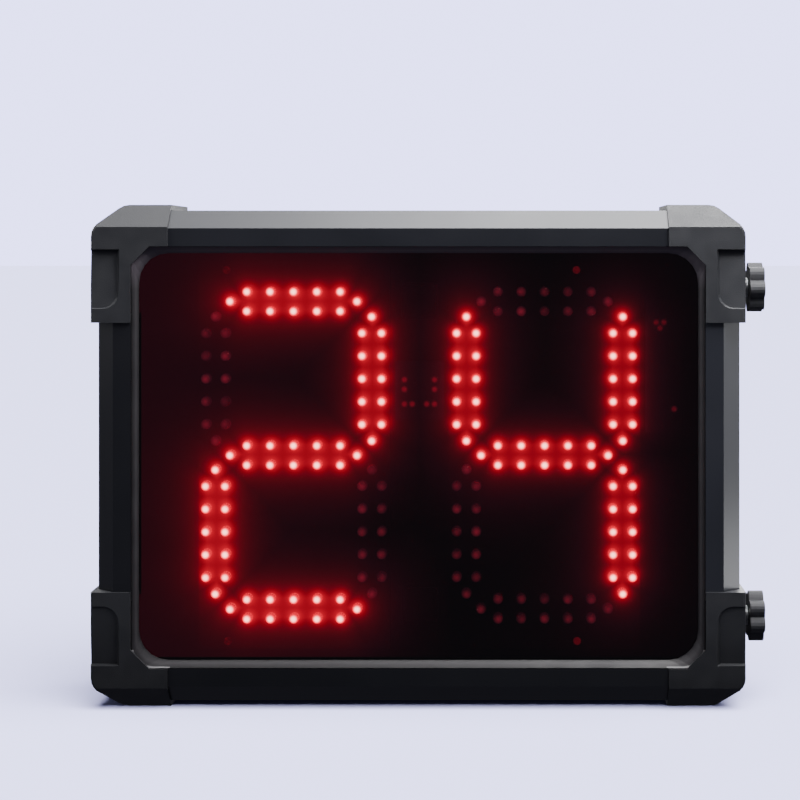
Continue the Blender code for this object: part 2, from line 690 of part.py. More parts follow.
def power_supply():
    """A metal-cased supply with an open bay at one end for its screw terminals."""
    width, depth, height = SUPPLY_SIZE
    x, z = SUPPLY_PLACE
    place = at(x, BACK_OF_PLATE + depth / 2, z)
    case = add_part("power_supply", block(SUPPLY_SIZE), CASING, place)
    bay_length, bay_depth = TERMINAL_BAY
    wall = 1.2 * MM
    bay = block((bay_length, 2 * bay_depth, height - 2 * wall), ((width - bay_length) / 2 + wall, depth / 2, 0))
    boolean(case, add_cutter("supply_bay", bay, place))
    vents = [slot_outline(14 * MM, 4 * MM, 3)] * 14
    spots = [at((k % 7 - 3.4) * 17 * MM, depth / 2, (k // 7 - 0.5) * 40 * MM, FACING) for k in range(14)]
    boolean(case, add_cutter("supply_vents", joined([plate([vent], 3 * MM) for vent in vents], spots), place))
    strip_height = height - 8 * wall
    strip = block((bay_length - 2 * wall, bay_depth - 3 * wall, strip_height))
    strip_x = x + (width - bay_length) / 2 + wall
    strip_y = BACK_OF_PLATE + depth - bay_depth + FIT + (bay_depth - 3 * wall) / 2
    strip_place = at(strip_x, strip_y, z)
    terminals = add_part("supply_terminals", strip, MOULDED, strip_place)
    ways = 7
    pitch = strip_height / ways
    gap = block((bay_length, bay_depth / 2, pitch * 0.7))
    gaps = [at(0, (bay_depth - 3 * wall) / 2, (k - (ways - 1) / 2) * pitch) for k in range(ways)]
    boolean(terminals, add_cutter("terminal_gaps", joined([gap] * ways, gaps), strip_place))


def control_board():
    """The control board: a processor, a relay, a heat sink, two headers and a capacitor on spacers."""
    width, height = CONTROL_SIZE
    x, z = CONTROL_PLACE
    front = BACK_OF_PLATE + CONTROL_LIFT
    place = at(x, front + BOARD_THICKNESS / 2, z)
    board = add_part("control_board", block((width, BOARD_THICKNESS, height)), BOARD, place)
    half = BOARD_THICKNESS / 2
    sunk = 0.4 * MM
    pieces = []
    places = []
    for size, spot in (((14, 3, 14), (0, 0)), ((15, 15, 19), (40, 20)), ((30, 20, 12), (-40, 25)),
                       ((40, 9, 8), (-30, -35)), ((40, 9, 8), (30, -35)), ((18, 6, 8), (45, -5))):
        depth = size[1] * MM
        pieces.append(block((size[0] * MM, depth, size[2] * MM)))
        places.append(at(spot[0] * MM, half + depth / 2 - sunk, spot[1] * MM))
    can = 16 * MM
    pieces.append(rod(5 * MM, can, 12))
    places.append(at(18 * MM, half + can / 2 - sunk, 30 * MM, FACING))
    spacer = CONTROL_LIFT + sunk
    for spot in corners(width / 2 - 5 * MM, height / 2 - 5 * MM):
        pieces.append(rod(PILLAR_RADIUS, spacer, 8))
        places.append(at(spot[0], -half - spacer / 2 + sunk, spot[1], FACING))
    boolean(board, add_cutter("control_pieces", joined(pieces, places), place), "UNION")


def turned_part(name, profile, steps, finish, matrix):
    """A solid turned about its own Z from half its outline, listed down its outer side from the top."""
    shape = bmesh.new()
    points = [shape.verts.new((radius, 0, height)) for radius, height in profile]
    for first, second in zip(points, points[1:]):
        shape.edges.new((first, second))
    half = bpy.data.meshes.new("profile")
    shape.to_mesh(half)
    shape.free()
    part = add_part(name, half, finish, matrix)
    screw = part.modifiers.new("turning", "SCREW")
    screw.axis = "Z"
    screw.steps = steps
    screw.render_steps = steps
    screw.use_merge_vertices = True
    screw.merge_threshold = 0.00001
    return part


BACKWARD = axes_turn((1, 0, 0), (0, 0, -1), (0, 1, 0))    # a turned shape whose top faces the back


def sounder():
    """The horn: a round body with a flared mouth facing the rear door."""
    radius = SOUNDER_RADIUS
    length = SOUNDER_LENGTH
    wall = 2 * MM
    throat = 9 * MM
    profile = [(0.0, length * 0.3), (throat, length * 0.32), (radius * 0.6, length * 0.6),
               (radius - wall, length), (radius, length), (radius, length * 0.85),
               (radius * 0.75, length * 0.5), (radius * 0.75, 0.0), (0.0, 0.0)]
    x, z = SOUNDER_PLACE
    turned_part("sounder", profile, 24, MOULDED, at(x, BACK_OF_PLATE, z, BACKWARD))


# Rear door: one folded sheet with a hinge flange on the left and two clamp ears on the right

EAR_INSIDE = CAP_SIDE + EAR_GAP
FLANGE_INSIDE = -HALF_WIDTH - 0.8 * MM
FLANGE_END = HINGE_AXIS_Y + 4 * MM
FIELD_INSIDE = DOOR_INSIDE + DOOR_RISE
FIELD_OUTSIDE = FIELD_INSIDE + DOOR_THICKNESS
INLET_PLACE = (150 * MM, -100 * MM)
SWITCH_PLACE = (105 * MM, -100 * MM)
SOCKET_PLACE = (65 * MM, -100 * MM)
INLET_BODY = (27 * MM, 20 * MM)
SWITCH_BODY = (13 * MM, 19.2 * MM)
SOCKET_RADIUS = 7.7 * MM


def door_outline():
    chamfer = 12 * MM
    top = DOOR_HALF_HEIGHT
    high = KNOB_HEIGHT + EAR_HALF_HEIGHT
    low = KNOB_HEIGHT - EAR_HALF_HEIGHT
    right = [(DOOR_RIGHT - chamfer, top), (DOOR_RIGHT, top - chamfer), (DOOR_RIGHT, high),
             (EAR_INSIDE, high), (EAR_INSIDE, low), (DOOR_RIGHT, low)]
    left = [(DOOR_LEFT, -HINGE_FLANGE_HALF), (FLANGE_INSIDE, -HINGE_FLANGE_HALF),
            (FLANGE_INSIDE, HINGE_FLANGE_HALF), (DOOR_LEFT, HINGE_FLANGE_HALF)]
    upper_left = [(DOOR_LEFT, top - chamfer), (DOOR_LEFT + chamfer, top)]
    return (right + [(x, -z) for x, z in reversed(right)]
            + [(x, -z) for x, z in reversed(upper_left)] + left + upper_left)


def folded_sheet():
    """The inner face of the door's sheet, its middle pressed out and its flange and ears folded forward."""
    shape = bmesh.new()
    shape.faces.new([shape.verts.new((x, DOOR_INSIDE, z)) for x, z in door_outline()])
    field = []
    for edge, inward in ((DOOR_LEFT, 1), (DOOR_RIGHT, -1)):
        field.append([((edge + inward * reach, 0, 0), (1, 0, 0)) for reach in (DOOR_RIM, DOOR_RIM + DOOR_SLOPE)])
    for edge, inward in ((-DOOR_HALF_HEIGHT, 1), (DOOR_HALF_HEIGHT, -1)):
        field.append([((0, 0, edge + inward * reach), (0, 0, 1)) for reach in (DOOR_RIM, DOOR_RIM + DOOR_SLOPE)])
    for pair in field:
        for point, normal in pair:
            everything = shape.verts[:] + shape.edges[:] + shape.faces[:]
            bmesh.ops.bisect_plane(shape, geom=everything, plane_co=point, plane_no=normal, dist=0.000001)
    inset = DOOR_RIM + DOOR_SLOPE - 0.1 * MM
    raised = [vert for vert in shape.verts
              if DOOR_LEFT + inset < vert.co.x < DOOR_RIGHT - inset and abs(vert.co.z) < DOOR_HALF_HEIGHT - inset]
    bmesh.ops.translate(shape, vec=(0, DOOR_RISE, 0), verts=raised)
    for fold, end in ((FLANGE_INSIDE, FLANGE_END), (EAR_INSIDE, KNOB_DEPTH - EAR_TIP_AHEAD)):
        edges = [edge for edge in shape.edges if all(abs(vert.co.x - fold) < 0.01 * MM for vert in edge.verts)]
        folded = bmesh.ops.extrude_edge_only(shape, edges=edges)
        verts = [item for item in folded["geom"] if isinstance(item, bmesh.types.BMVert)]
        bmesh.ops.translate(shape, vec=(0, end - DOOR_INSIDE, 0), verts=verts)
    bmesh.ops.recalc_face_normals(shape, faces=shape.faces)
    rim = max(shape.faces, key=lambda face: face.calc_area())
    if rim.normal.y < 0:
        bmesh.ops.reverse_faces(shape, faces=shape.faces)
    made = bpy.data.meshes.new("sheet")
    shape.to_mesh(made)
    shape.free()
    return made


def ear_slots():
    """Two slots open to the front, so that the ears slide off the studs as the door swings."""
    ahead = EAR_TIP_AHEAD + 5 * MM
    outline = arc((0, 0), SLOT_WIDTH / 2, 0, 180, 6) + [(-SLOT_WIDTH / 2, -ahead), (SLOT_WIDTH / 2, -ahead)]
    slot = plate([outline], 6 * MM)
    turn = axes_turn((0, 0, 1), (0, 1, 0), (-1, 0, 0))
    spots = [at(EAR_INSIDE, KNOB_DEPTH, side * KNOB_HEIGHT, turn) for side in (1, -1)]
    return joined([slot, slot], spots)


def door_openings():
    """Ventilation slots, the sounder's holes and the three panel cut-outs."""
    deep = 8 * MM
    outlines = []
    for z in (134, 122, -130, -140):
        for k in range(8):
            slot = [(b, a) for a, b in slot_outline(26 * MM, 4.5 * MM, 3)]
            outlines.append([(a + (k - 3.5) * 40 * MM, b + z * MM) for a, b in slot])
    for count, ring in ((1, 0), (6, 10 * MM), (12, 20 * MM)):
        for k in range(count):
            x = SOUNDER_PLACE[0] + ring * cos(tau * k / count)
            z = SOUNDER_PLACE[1] + ring * sin(tau * k / count)
            outlines.append(arc((x, z), 2.5 * MM, 0, 315, 7))
    gap = 2 * FIT
    for place, size in ((INLET_PLACE, INLET_BODY), (SWITCH_PLACE, SWITCH_BODY)):
        hole = rounded_rectangle(size[0] + gap, size[1] + gap, 0.6 * MM, 1)
        outlines.append([(place[0] + a, place[1] + b) for a, b in hole])
    outlines.append([(SOCKET_PLACE[0] + a, SOCKET_PLACE[1] + b)
                     for a, b in arc((0, 0), SOCKET_RADIUS + 2 * FIT, 0, 345, 23)])
    pieces = [plate([outline], deep) for outline in outlines]
    return joined(pieces, [at(0, FIELD_INSIDE, 0, FACING)] * len(pieces))


def rear_door():
    door = add_part("rear_door", folded_sheet(), SHEET)
    wall = door.modifiers.new("wall", "SOLIDIFY")
    wall.thickness = DOOR_THICKNESS
    wall.offset = 1
    wall.use_even_offset = True
    boolean(door, add_cutter("door_ear_slots", ear_slots()))
    boolean(door, add_cutter("door_openings", door_openings()))
    inset = 16 * MM
    seal = plate([inset_outline(inset, 10 * MM), inset_outline(inset + SEAL_WIDTH, 4 * MM)], SEAL_THICKNESS)
    add_part("door_seal", seal, FOAM, at(0, DOOR_INSIDE - FIT - SEAL_THICKNESS / 2, 0, FACING))


# Butt hinges on the left side

HINGE_LENGTH = 50 * MM
HINGE_PLACES = {"upper": 62 * MM, "lower": -62 * MM}
KNUCKLE_RADIUS = 3 * MM
PIN_RADIUS = 1.1 * MM
LEAF_THICKNESS = 1.2 * MM
KNUCKLE = (HINGE_LENGTH - 4 * FIT) / 3


def hinge_leaf(name, z, knuckles, plate_x, plate_y, tab_y):
    """A leaf with its knuckles: a plate, short tabs that reach the pin, and tubes bored for it."""
    leaf = add_part(name, block((LEAF_THICKNESS, plate_y[1] - plate_y[0], HINGE_LENGTH)), ZINC,
                    at(plate_x, (plate_y[0] + plate_y[1]) / 2, z))
    tubes = []
    places = []
    for centre in knuckles:
        tubes.append(block((LEAF_THICKNESS * 0.96, abs(tab_y[1] - tab_y[0]), KNUCKLE * 0.99)))
        places.append(at(plate_x, (tab_y[0] + tab_y[1]) / 2, z + centre))
    boolean(leaf, add_cutter(name + "_tabs", joined(tubes, places)), "UNION")
    rods = [rod(KNUCKLE_RADIUS, KNUCKLE, 16)] * len(knuckles)
    spots = [at(HINGE_AXIS_X, HINGE_AXIS_Y, z + centre) for centre in knuckles]
    boolean(leaf, add_cutter(name + "_knuckles", joined(rods, spots)), "UNION")
    bore = rod(PIN_RADIUS + FIT, 2 * HINGE_LENGTH, 12)
    boolean(leaf, add_cutter(name + "_bore", bore, at(HINGE_AXIS_X, HINGE_AXIS_Y, z)))


def hinges():
    step = KNUCKLE + FIT
    ahead = HINGE_AXIS_Y - KNUCKLE_RADIUS - FIT
    behind = HINGE_AXIS_Y + KNUCKLE_RADIUS + 2 * FIT
    frame_x = -HALF_WIDTH - FIT - LEAF_THICKNESS / 2
    door_x = FLANGE_INSIDE - DOOR_THICKNESS - FIT - LEAF_THICKNESS / 2
    for label, z in HINGE_PLACES.items():
        hinge_leaf(label + "_hinge_frame_leaf", z, (-step, step), frame_x, (ahead - 18 * MM, ahead),
                   (ahead - 1 * MM, HINGE_AXIS_Y))
        hinge_leaf(label + "_hinge_door_leaf", z, (0,), door_x, (behind, behind + 17 * MM),
                   (behind + 1 * MM, HINGE_AXIS_Y + PIN_RADIUS))
        head = 1.2 * MM
        top = HINGE_LENGTH / 2 + FIT
        profile = [(0, top + head), (2 * PIN_RADIUS, top + head), (2 * PIN_RADIUS, top), (PIN_RADIUS, top),
                   (PIN_RADIUS, -top), (0, -top)]
        turned_part(label + "_hinge_pin", profile, 12, ZINC, at(HINGE_AXIS_X, HINGE_AXIS_Y, z))


# Mains inlet, switch and signal socket on the door

INLET_DEPTH = 24 * MM
INLET_FLANGE = (48 * MM, 2.5 * MM, 23 * MM)
INLET_CAVITY = (24 * MM, 17.5 * MM, 16 * MM)
BLADE = (2 * MM, 12 * MM, 4 * MM)


def mains_inlet():
    x, z = INLET_PLACE
    face = FIELD_OUTSIDE + FIT
    place = at(x, face, z)
    thick = INLET_FLANGE[1]
    flange = rounded_rectangle(INLET_FLANGE[0], INLET_FLANGE[2], 4 * MM, 4)
    inlet = add_part("mains_inlet", plate([flange], thick), MOULDED, at(x, face + thick / 2, z, FACING))
    body = block((INLET_BODY[0], INLET_DEPTH, INLET_BODY[1]), (0, 1 * MM - INLET_DEPTH / 2, 0))
    boolean(inlet, add_cutter("inlet_body", body, place), "UNION")
    half_w = INLET_CAVITY[0] / 2
    half_h = INLET_CAVITY[2] / 2
    cut = 5 * MM
    mouth = [(-half_w, -half_h), (half_w, -half_h), (half_w, half_h - cut), (half_w - cut, half_h),
             (cut - half_w, half_h), (-half_w, half_h - cut)]
    floor = thick - INLET_CAVITY[1]
    cavity = plate([mouth], INLET_CAVITY[1] + 2 * MM)
    middle = floor + (INLET_CAVITY[1] + 2 * MM) / 2
    boolean(inlet, add_cutter("inlet_cavity", cavity, at(x, face + middle, z, FACING)))
    spots = ((-7 * MM, -2 * MM), (0, 2 * MM), (7 * MM, -2 * MM))
    blades = [at(a, floor + BLADE[1] / 2 - 0.5 * MM, b) for a, b in spots]
    boolean(inlet, add_cutter("inlet_blades", joined([block(BLADE)] * 3, blades), place), "UNION")


ROCKER_TILT = 9
ROCKER_PIVOT = 3.6 * MM              # below the face of the switch's rim
ROCKER_WIDTH = 10.4 * MM


def power_switch():
    x, z = SWITCH_PLACE
    rim = 1.8 * MM
    depth = 16 * MM
    face = FIELD_OUTSIDE + FIT
    place = at(x, face, z)
    width, height = SWITCH_BODY
    outline = rounded_rectangle(width + 2 * MM, height + 1.8 * MM, 1.5 * MM, 3)
    housing = add_part("switch_housing", plate([outline], rim), MOULDED, at(x, face + rim / 2, z, FACING))
    body = block((width, depth, height), (0, 1 * MM - depth / 2, 0))
    boolean(housing, add_cutter("switch_body", body, place), "UNION")
    pivot_y = face + rim - ROCKER_PIVOT
    well_depth = ROCKER_PIVOT + 4.4 * MM
    well = block((ROCKER_WIDTH + 0.8 * MM, well_depth, 17.3 * MM), (0, rim - well_depth / 2 + 0.1 * MM, 0))
    boolean(housing, add_cutter("switch_well", well, place))
    profile = [(-7.6, 5.0), (-3.5, 4.4), (0, 4.2), (3.5, 4.4), (7.6, 5.0), (6.0, -1.5), (2.5, -3.5),
               (-2.5, -3.5), (-6.0, -1.5)]
    rocker = plate([[(a * MM, b * MM) for a, b in profile]], ROCKER_WIDTH)
    tilt = Matrix.Rotation(radians(ROCKER_TILT), 3, "X")
    turn = tilt @ axes_turn((0, 0, 1), (0, 1, 0), (-1, 0, 0))
    add_part("power_rocker", rocker, GLOSSY, at(x, pivot_y, z, turn))


def signal_socket():
    """A round panel connector: threaded body, hexagonal rim outside and a ring nut inside the door."""
    x, z = SOCKET_PLACE
    radius = SOCKET_RADIUS
    face = FIELD_OUTSIDE + FIT
    rim = 2.5 * MM
    nose = 8 * MM
    mouth = radius - 1.4 * MM
    profile = [(0, rim - 1 * MM), (mouth, rim - 1 * MM), (mouth, nose), (radius, nose), (radius, rim),
               (radius + 2.8 * MM, rim), (radius + 2.8 * MM, 0), (radius, 0), (radius, -14 * MM),
               (radius - 2 * MM, -14 * MM), (radius - 2 * MM, -17 * MM), (0, -17 * MM)]
    socket = turned_part("signal_socket", profile, 24, ZINC, at(x, face, z, BACKWARD))
    smooth(socket)
    hexagon = arc((0, 0), radius + 4 * MM, 0, 300, 5)
    bore = arc((0, 0), radius + FIT + 0.1 * MM, 0, 345, 23)
    thick = 3 * MM
    nut = plate([hexagon, bore], thick)
    add_part("signal_socket_nut", nut, ZINC, at(x, FIELD_INSIDE - FIT - thick / 2, z, FACING))


# Star knobs, their studs, washers and inserts

TO_RIGHT = axes_turn((0, 0, -1), (0, 1, 0), (1, 0, 0))


def circle(radius, steps=24):
    return arc((0, 0), radius, 0, 360 - 360 / steps, steps - 1)


def star_outline(valley):
    """Rounded lobes with narrow valleys between them, one valley at the given angle above the knob's front."""
    points = []
    steps = 8 * KNOB_LOBES
    start = -pi / 2 - radians(valley)
    for k in range(steps):
        angle = tau * k / steps
        swing = 0.5 - 0.5 * cos(KNOB_LOBES * angle)
        radius = KNOB_VALLEY + (KNOB_RADIUS - KNOB_VALLEY) * swing ** 0.6
        points.append((radius * cos(start + angle), radius * sin(start + angle)))
    return points


def clamp_knob(label, side, valley):
    z = side * KNOB_HEIGHT
    back = KNOB_TIP - KNOB_THICKNESS
    knob = add_part(label + "_star_knob", plate([star_outline(valley)], KNOB_THICKNESS), GLOSSY,
                    at(KNOB_TIP - KNOB_THICKNESS / 2, KNOB_DEPTH, z, TO_RIGHT))
    rim = knob.modifiers.new("rim", "BEVEL")
    rim.width = 3.4 * MM
    rim.segments = 3
    rim.limit_method = "ANGLE"
    rim.angle_limit = radians(60)
    bore = rod(STUD_RADIUS + STUD_CLEARANCE, 2 * 8 * MM)
    boolean(knob, add_cutter(label + "_knob_bore", bore, at(back, KNOB_DEPTH, z, TO_RIGHT)))
    smooth(knob, 40)
    inner_end = HALF_WIDTH - BRACKET_OUTER - BRACKET_WIDTH + 1 * MM
    collar = back - FIT
    outer_end = back + 7 * MM
    profile = [(0, outer_end), (STUD_RADIUS, outer_end), (STUD_RADIUS, collar), (COLLAR_RADIUS, collar),
               (COLLAR_RADIUS, collar - COLLAR_LENGTH), (STUD_RADIUS, collar - COLLAR_LENGTH),
               (STUD_RADIUS, inner_end), (0, inner_end)]
    stud = turned_part(label + "_knob_stud", [(r, h - back) for r, h in profile], 24, ZINC,
                       at(back, KNOB_DEPTH, z, TO_RIGHT))
    smooth(stud)
    hole = circle(STUD_RADIUS + STUD_CLEARANCE)
    washer_x = EAR_INSIDE + DOOR_THICKNESS + WASHER_GAP + WASHER_THICKNESS / 2
    washer = plate([circle(WASHER_RADIUS), hole], WASHER_THICKNESS)
    add_part(label + "_knob_washer", washer, ZINC, at(washer_x, KNOB_DEPTH, z, TO_RIGHT))
    insert_length = BRACKET_WIDTH - 4 * MM
    insert = plate([circle(INSERT_RADIUS), hole], insert_length)
    insert_x = HALF_WIDTH - BRACKET_OUTER - insert_length / 2
    add_part(label + "_clamp_insert", insert, BRASS, at(insert_x, KNOB_DEPTH, z, TO_RIGHT))


# Assembly

def pivot(name, location, parts):
    """An empty on a joint's axis that carries the pieces which move with it."""
    axis = bpy.data.objects.new(name, None)
    PARTS.objects.link(axis)
    axis.parent = CLOCK
    axis.location = location
    for part in parts:
        part.parent = axis
        part.matrix_basis = Matrix.Translation(location).inverted() @ part.matrix_basis


def named(*names):
    return [bpy.data.objects[name] for name in names]


def stand_on_origin():
    """Move the clock so that the world origin is at the bottom centre of its box."""
    bpy.context.view_layer.update()
    graph = bpy.context.evaluated_depsgraph_get()
    points = []
    for part in PARTS.objects:
        if part.type == "MESH":
            shown = part.evaluated_get(graph)
            points += [shown.matrix_world @ vert.co for vert in shown.data.vertices]
    low = [min(point[axis] for point in points) for axis in range(3)]
    high = [max(point[axis] for point in points) for axis in range(3)]
    CLOCK.location = (-(low[0] + high[0]) / 2, -(low[1] + high[1]) / 2, -low[2])
    print("clock centre at", [round(value, 6) for value in CLOCK.location])
    print("box", [round(high[axis] - low[axis], 6) for axis in range(3)])


rails()
for corner, side_x, side_z in (("top_left", -1, 1), ("top_right", 1, 1),
                               ("bottom_left", -1, -1), ("bottom_right", 1, -1)):
    corner_cap(corner, side_x, side_z)
    corner_bracket(corner, side_x, side_z)
window_bead()
window_and_gasket()
carrier_plate()
display_boards()
power_supply()
control_board()
sounder()
rear_door()
hinges()
mains_inlet()
power_switch()
signal_socket()
clamp_knob("upper", 1, 21.3)
clamp_knob("lower", -1, 5.4)

pivot("door_axis", (HINGE_AXIS_X, HINGE_AXIS_Y, 0),
      named("rear_door", "door_seal", "upper_hinge_door_leaf", "lower_hinge_door_leaf", "mains_inlet",
            "switch_housing", "signal_socket", "signal_socket_nut", "power_rocker"))
for side_name, side in (("upper", 1), ("lower", -1)):
    pivot(side_name + "_knob_axis", (KNOB_TIP, KNOB_DEPTH, side * KNOB_HEIGHT),
          named(side_name + "_star_knob", side_name + "_knob_stud", side_name + "_knob_washer"))
stand_on_origin()
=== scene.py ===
import bpy
from math import cos, radians, sin
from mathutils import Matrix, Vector


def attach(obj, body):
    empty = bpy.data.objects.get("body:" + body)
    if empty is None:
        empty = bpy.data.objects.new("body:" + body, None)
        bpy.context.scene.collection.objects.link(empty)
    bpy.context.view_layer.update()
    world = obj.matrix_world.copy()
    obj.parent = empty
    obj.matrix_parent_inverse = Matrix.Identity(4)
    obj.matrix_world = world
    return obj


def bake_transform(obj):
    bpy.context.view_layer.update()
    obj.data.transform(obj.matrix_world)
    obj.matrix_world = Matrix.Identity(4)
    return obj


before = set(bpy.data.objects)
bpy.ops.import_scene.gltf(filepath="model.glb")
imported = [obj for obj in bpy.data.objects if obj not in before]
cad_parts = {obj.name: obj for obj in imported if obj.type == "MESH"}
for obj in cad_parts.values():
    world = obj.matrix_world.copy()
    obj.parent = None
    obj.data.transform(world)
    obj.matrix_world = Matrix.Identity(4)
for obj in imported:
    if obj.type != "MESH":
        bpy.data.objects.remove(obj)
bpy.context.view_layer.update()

# Camera: a little to the right of the clock's middle and above it, level, its sensor shifted so that the
# front face stays square-on and undistorted as in the photograph.
camera = bpy.data.objects.new("camera", bpy.data.cameras.new("camera"))
bpy.context.scene.collection.objects.link(camera)
camera.location = (0.0584, -1.4506, 0.3555)
camera.rotation_euler = (radians(90), 0, 0)
camera.data.lens = 81.56
camera.data.sensor_width = 36
camera.data.shift_x = -0.1296
camera.data.shift_y = -0.1872
bpy.context.scene.camera = camera

# Stage: a wide pale floor under a pale, even sky, which the camera sees brighter than it shines, so that
# the clock isn't washed out. A soft sun lights the floor alone and gives the shadow under the clock, and
# the bright floor doesn't mirror in the dark window.
bpy.ops.mesh.primitive_plane_add(size=80, location=(0, 0, 0))
floor = bpy.context.object
floor.name = "floor"
paper = bpy.data.materials.new("pale_floor")
paper.use_nodes = True
shader = paper.node_tree.nodes["Principled BSDF"]
shader.inputs["Base Color"].default_value = (0.57, 0.575, 0.97, 1)
shader.inputs["Roughness"].default_value = 0.8
shader.inputs["Specular IOR Level"].default_value = 0.1
floor.data.materials.append(paper)
floor.visible_glossy = False
floor.visible_transmission = False
floor.visible_diffuse = False
world = bpy.data.worlds.new("sky")
bpy.context.scene.world = world
world.use_nodes = True
sky = world.node_tree
shining = sky.nodes["Background"]
shining.inputs["Color"].default_value = (0.77, 0.77, 1.0, 1)
shining.inputs["Strength"].default_value = 0.115
seen = sky.nodes.new("ShaderNodeBackground")
seen.inputs["Color"].default_value = (0.53, 0.53, 1.0, 1)
seen.inputs["Strength"].default_value = 4.9
rays = sky.nodes.new("ShaderNodeLightPath")
choice = sky.nodes.new("ShaderNodeMixShader")
sky.links.new(rays.outputs["Is Camera Ray"], choice.inputs["Fac"])
sky.links.new(shining.outputs["Background"], choice.inputs[1])
sky.links.new(seen.outputs["Background"], choice.inputs[2])
sky.links.new(choice.outputs["Shader"], sky.nodes["World Output"].inputs["Surface"])
floor_only = bpy.data.collections.new("lit_by_the_sun")
bpy.context.scene.collection.children.link(floor_only)
floor_only.objects.link(floor)
sun = bpy.data.objects.new("sun", bpy.data.lights.new("sun", "SUN"))
sun.data.energy = 14.0
sun.data.angle = radians(60)
sun.rotation_euler = (radians(20), radians(15), 0)
sun.light_linking.receiver_collection = floor_only
bpy.context.scene.collection.objects.link(sun)

# Lights: they reach the clock only, so that the floor and the sky stay even. Two hang overhead, the right
# one stronger, and draw the pale line along the upper bevel. A narrow strip and a soft lamp stand low on the
# right, two fill the front, and the rest show the left side and the back.
lit = bpy.data.collections.new("lit_by_the_lamps")
bpy.context.scene.collection.children.link(lit)
for name, place, target, width, height, power in (
        ("overhead", (0.58, 0.05, 2.0), (0.58, 0.0, 0.0), 1.5, 1.0, 66),
        ("overhead_left", (-0.62, 0.05, 2.0), (-0.62, 0.0, 0.0), 0.9, 1.0, 9),
        ("right_strip", (0.80, 0.06, -0.15), (0.2, 0.0, -0.10), 0.16, 0.40, 1.9),
        ("right_soft", (1.1, 0.10, 0.35), (0.2, 0.0, 0.20), 0.3, 0.6, 1.2),
        ("upper_right", (0.35, -0.35, 0.90), (0.1, 0.0, 0.3), 0.4, 0.3, 7.5),
        ("front", (0.4, -0.8, 1.2), (0.0, 0.0, 0.25), 0.6, 0.6, 1.6),
        ("left", (-1.7, -0.9, 1.4), (0.0, 0.0, 0.2), 1.0, 1.0, 12),
        ("back", (0.9, 2.0, 1.3), (0.0, 0.0, 0.2), 1.6, 1.2, 90),
        ("back_left", (-1.52, 1.66, 0.7), (0.0, 0.0, 0.2), 1.2, 1.0, 45)):
    lamp = bpy.data.lights.new(name, "AREA")
    lamp.shape = "RECTANGLE"
    lamp.size = width
    lamp.size_y = height
    lamp.energy = power
    light = bpy.data.objects.new(name, lamp)
    light.location = place
    light.rotation_euler = (Vector(target) - Vector(place)).to_track_quat("-Z", "Y").to_euler()
    light.visible_camera = False
    light.light_linking.receiver_collection = lit
    bpy.context.scene.collection.objects.link(light)
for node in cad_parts.values():
    lit.objects.link(node)

# Frame rails: four lengths of one aluminium extrusion, black anodised. Each rail has its own copy of the
# finish, painted paler or darker by how the light falls on its side: the right rail palest, the bottom one
# darkest. The die leaves faint straight lines along each length, and handling has polished the film a little
# here and there.


def new_finish(name, roughness, metallic=0.0):
    finish = bpy.data.materials.new(name)
    finish.use_nodes = True
    shader = finish.node_tree.nodes["Principled BSDF"]
    shader.inputs["Roughness"].default_value = roughness
    shader.inputs["Metallic"].default_value = metallic
    return finish, finish.node_tree, shader


def give(finish, *names):
    for name in names:
        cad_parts[name].material_slots[0].material = finish


def noise(tree, scale, stretch=(1, 1, 1), detail=3):
    """A noise on the piece's own coordinates, in lumps per metre, drawn out along one axis where asked."""
    place = tree.nodes.new("ShaderNodeTexCoord")
    mapping = tree.nodes.new("ShaderNodeMapping")
    mapping.inputs["Scale"].default_value = stretch
    texture = tree.nodes.new("ShaderNodeTexNoise")
    texture.inputs["Scale"].default_value = scale
    texture.inputs["Detail"].default_value = detail
    tree.links.new(place.outputs["Object"], mapping.inputs["Vector"])
    tree.links.new(mapping.outputs["Vector"], texture.inputs["Vector"])
    return texture.outputs["Fac"]


def ramp(tree, value, *stops):
    """Colours along a value: each stop is a place from 0 to 1 and a colour or a grey."""
    node = tree.nodes.new("ShaderNodeValToRGB")
    points = node.color_ramp.elements
    while len(points) < len(stops):
        points.new(0.5)
    for point, (position, colour) in zip(points, stops):
        point.position = position
        point.color = (*colour, 1) if isinstance(colour, tuple) else (colour, colour, colour, 1)
    tree.links.new(value, node.inputs["Fac"])
    return node.outputs["Color"]


def bump(tree, shader, height, strength, distance):
    node = tree.nodes.new("ShaderNodeBump")
    node.inputs["Strength"].default_value = strength
    node.inputs["Distance"].default_value = distance
    tree.links.new(height, node.inputs["Height"])
    tree.links.new(node.outputs["Normal"], shader.inputs["Normal"])


def vary(tree, shader, part, value, *stops):
    """Lets one property of a finish follow a value through a ramp."""
    tree.links.new(ramp(tree, value, *stops), shader.inputs[part])


# painted light: each rail's colour is scaled by how the light falls on its side, palest on the right
for rail, along, painted_light_level in (("top_rail", (0.02, 1, 1), 1.2), ("bottom_rail", (0.02, 1, 1), 0.5),
                              ("left_rail", (1, 1, 0.02), 0.7), ("right_rail", (1, 1, 0.02), 1.9)):
    anodised, tree, shader = new_finish("anodised_" + rail, 0.36, 0.25)
    shader.inputs["Specular IOR Level"].default_value = 0.9
    die_lines = noise(tree, 900, along, 2)
    handled = noise(tree, 9, detail=4)
    black, worn = [tuple(painted_light_level * part for part in colour)
                   for colour in ((0.0125, 0.0135, 0.0180), (0.0175, 0.0185, 0.0250))]
    vary(tree, shader, "Base Color", handled, (0.3, black), (0.7, worn))
    vary(tree, shader, "Roughness", handled, (0.3, 0.31), (0.7, 0.40))
    bump(tree, shader, die_lines, 0.12, 0.0001)
    give(anodised, rail)

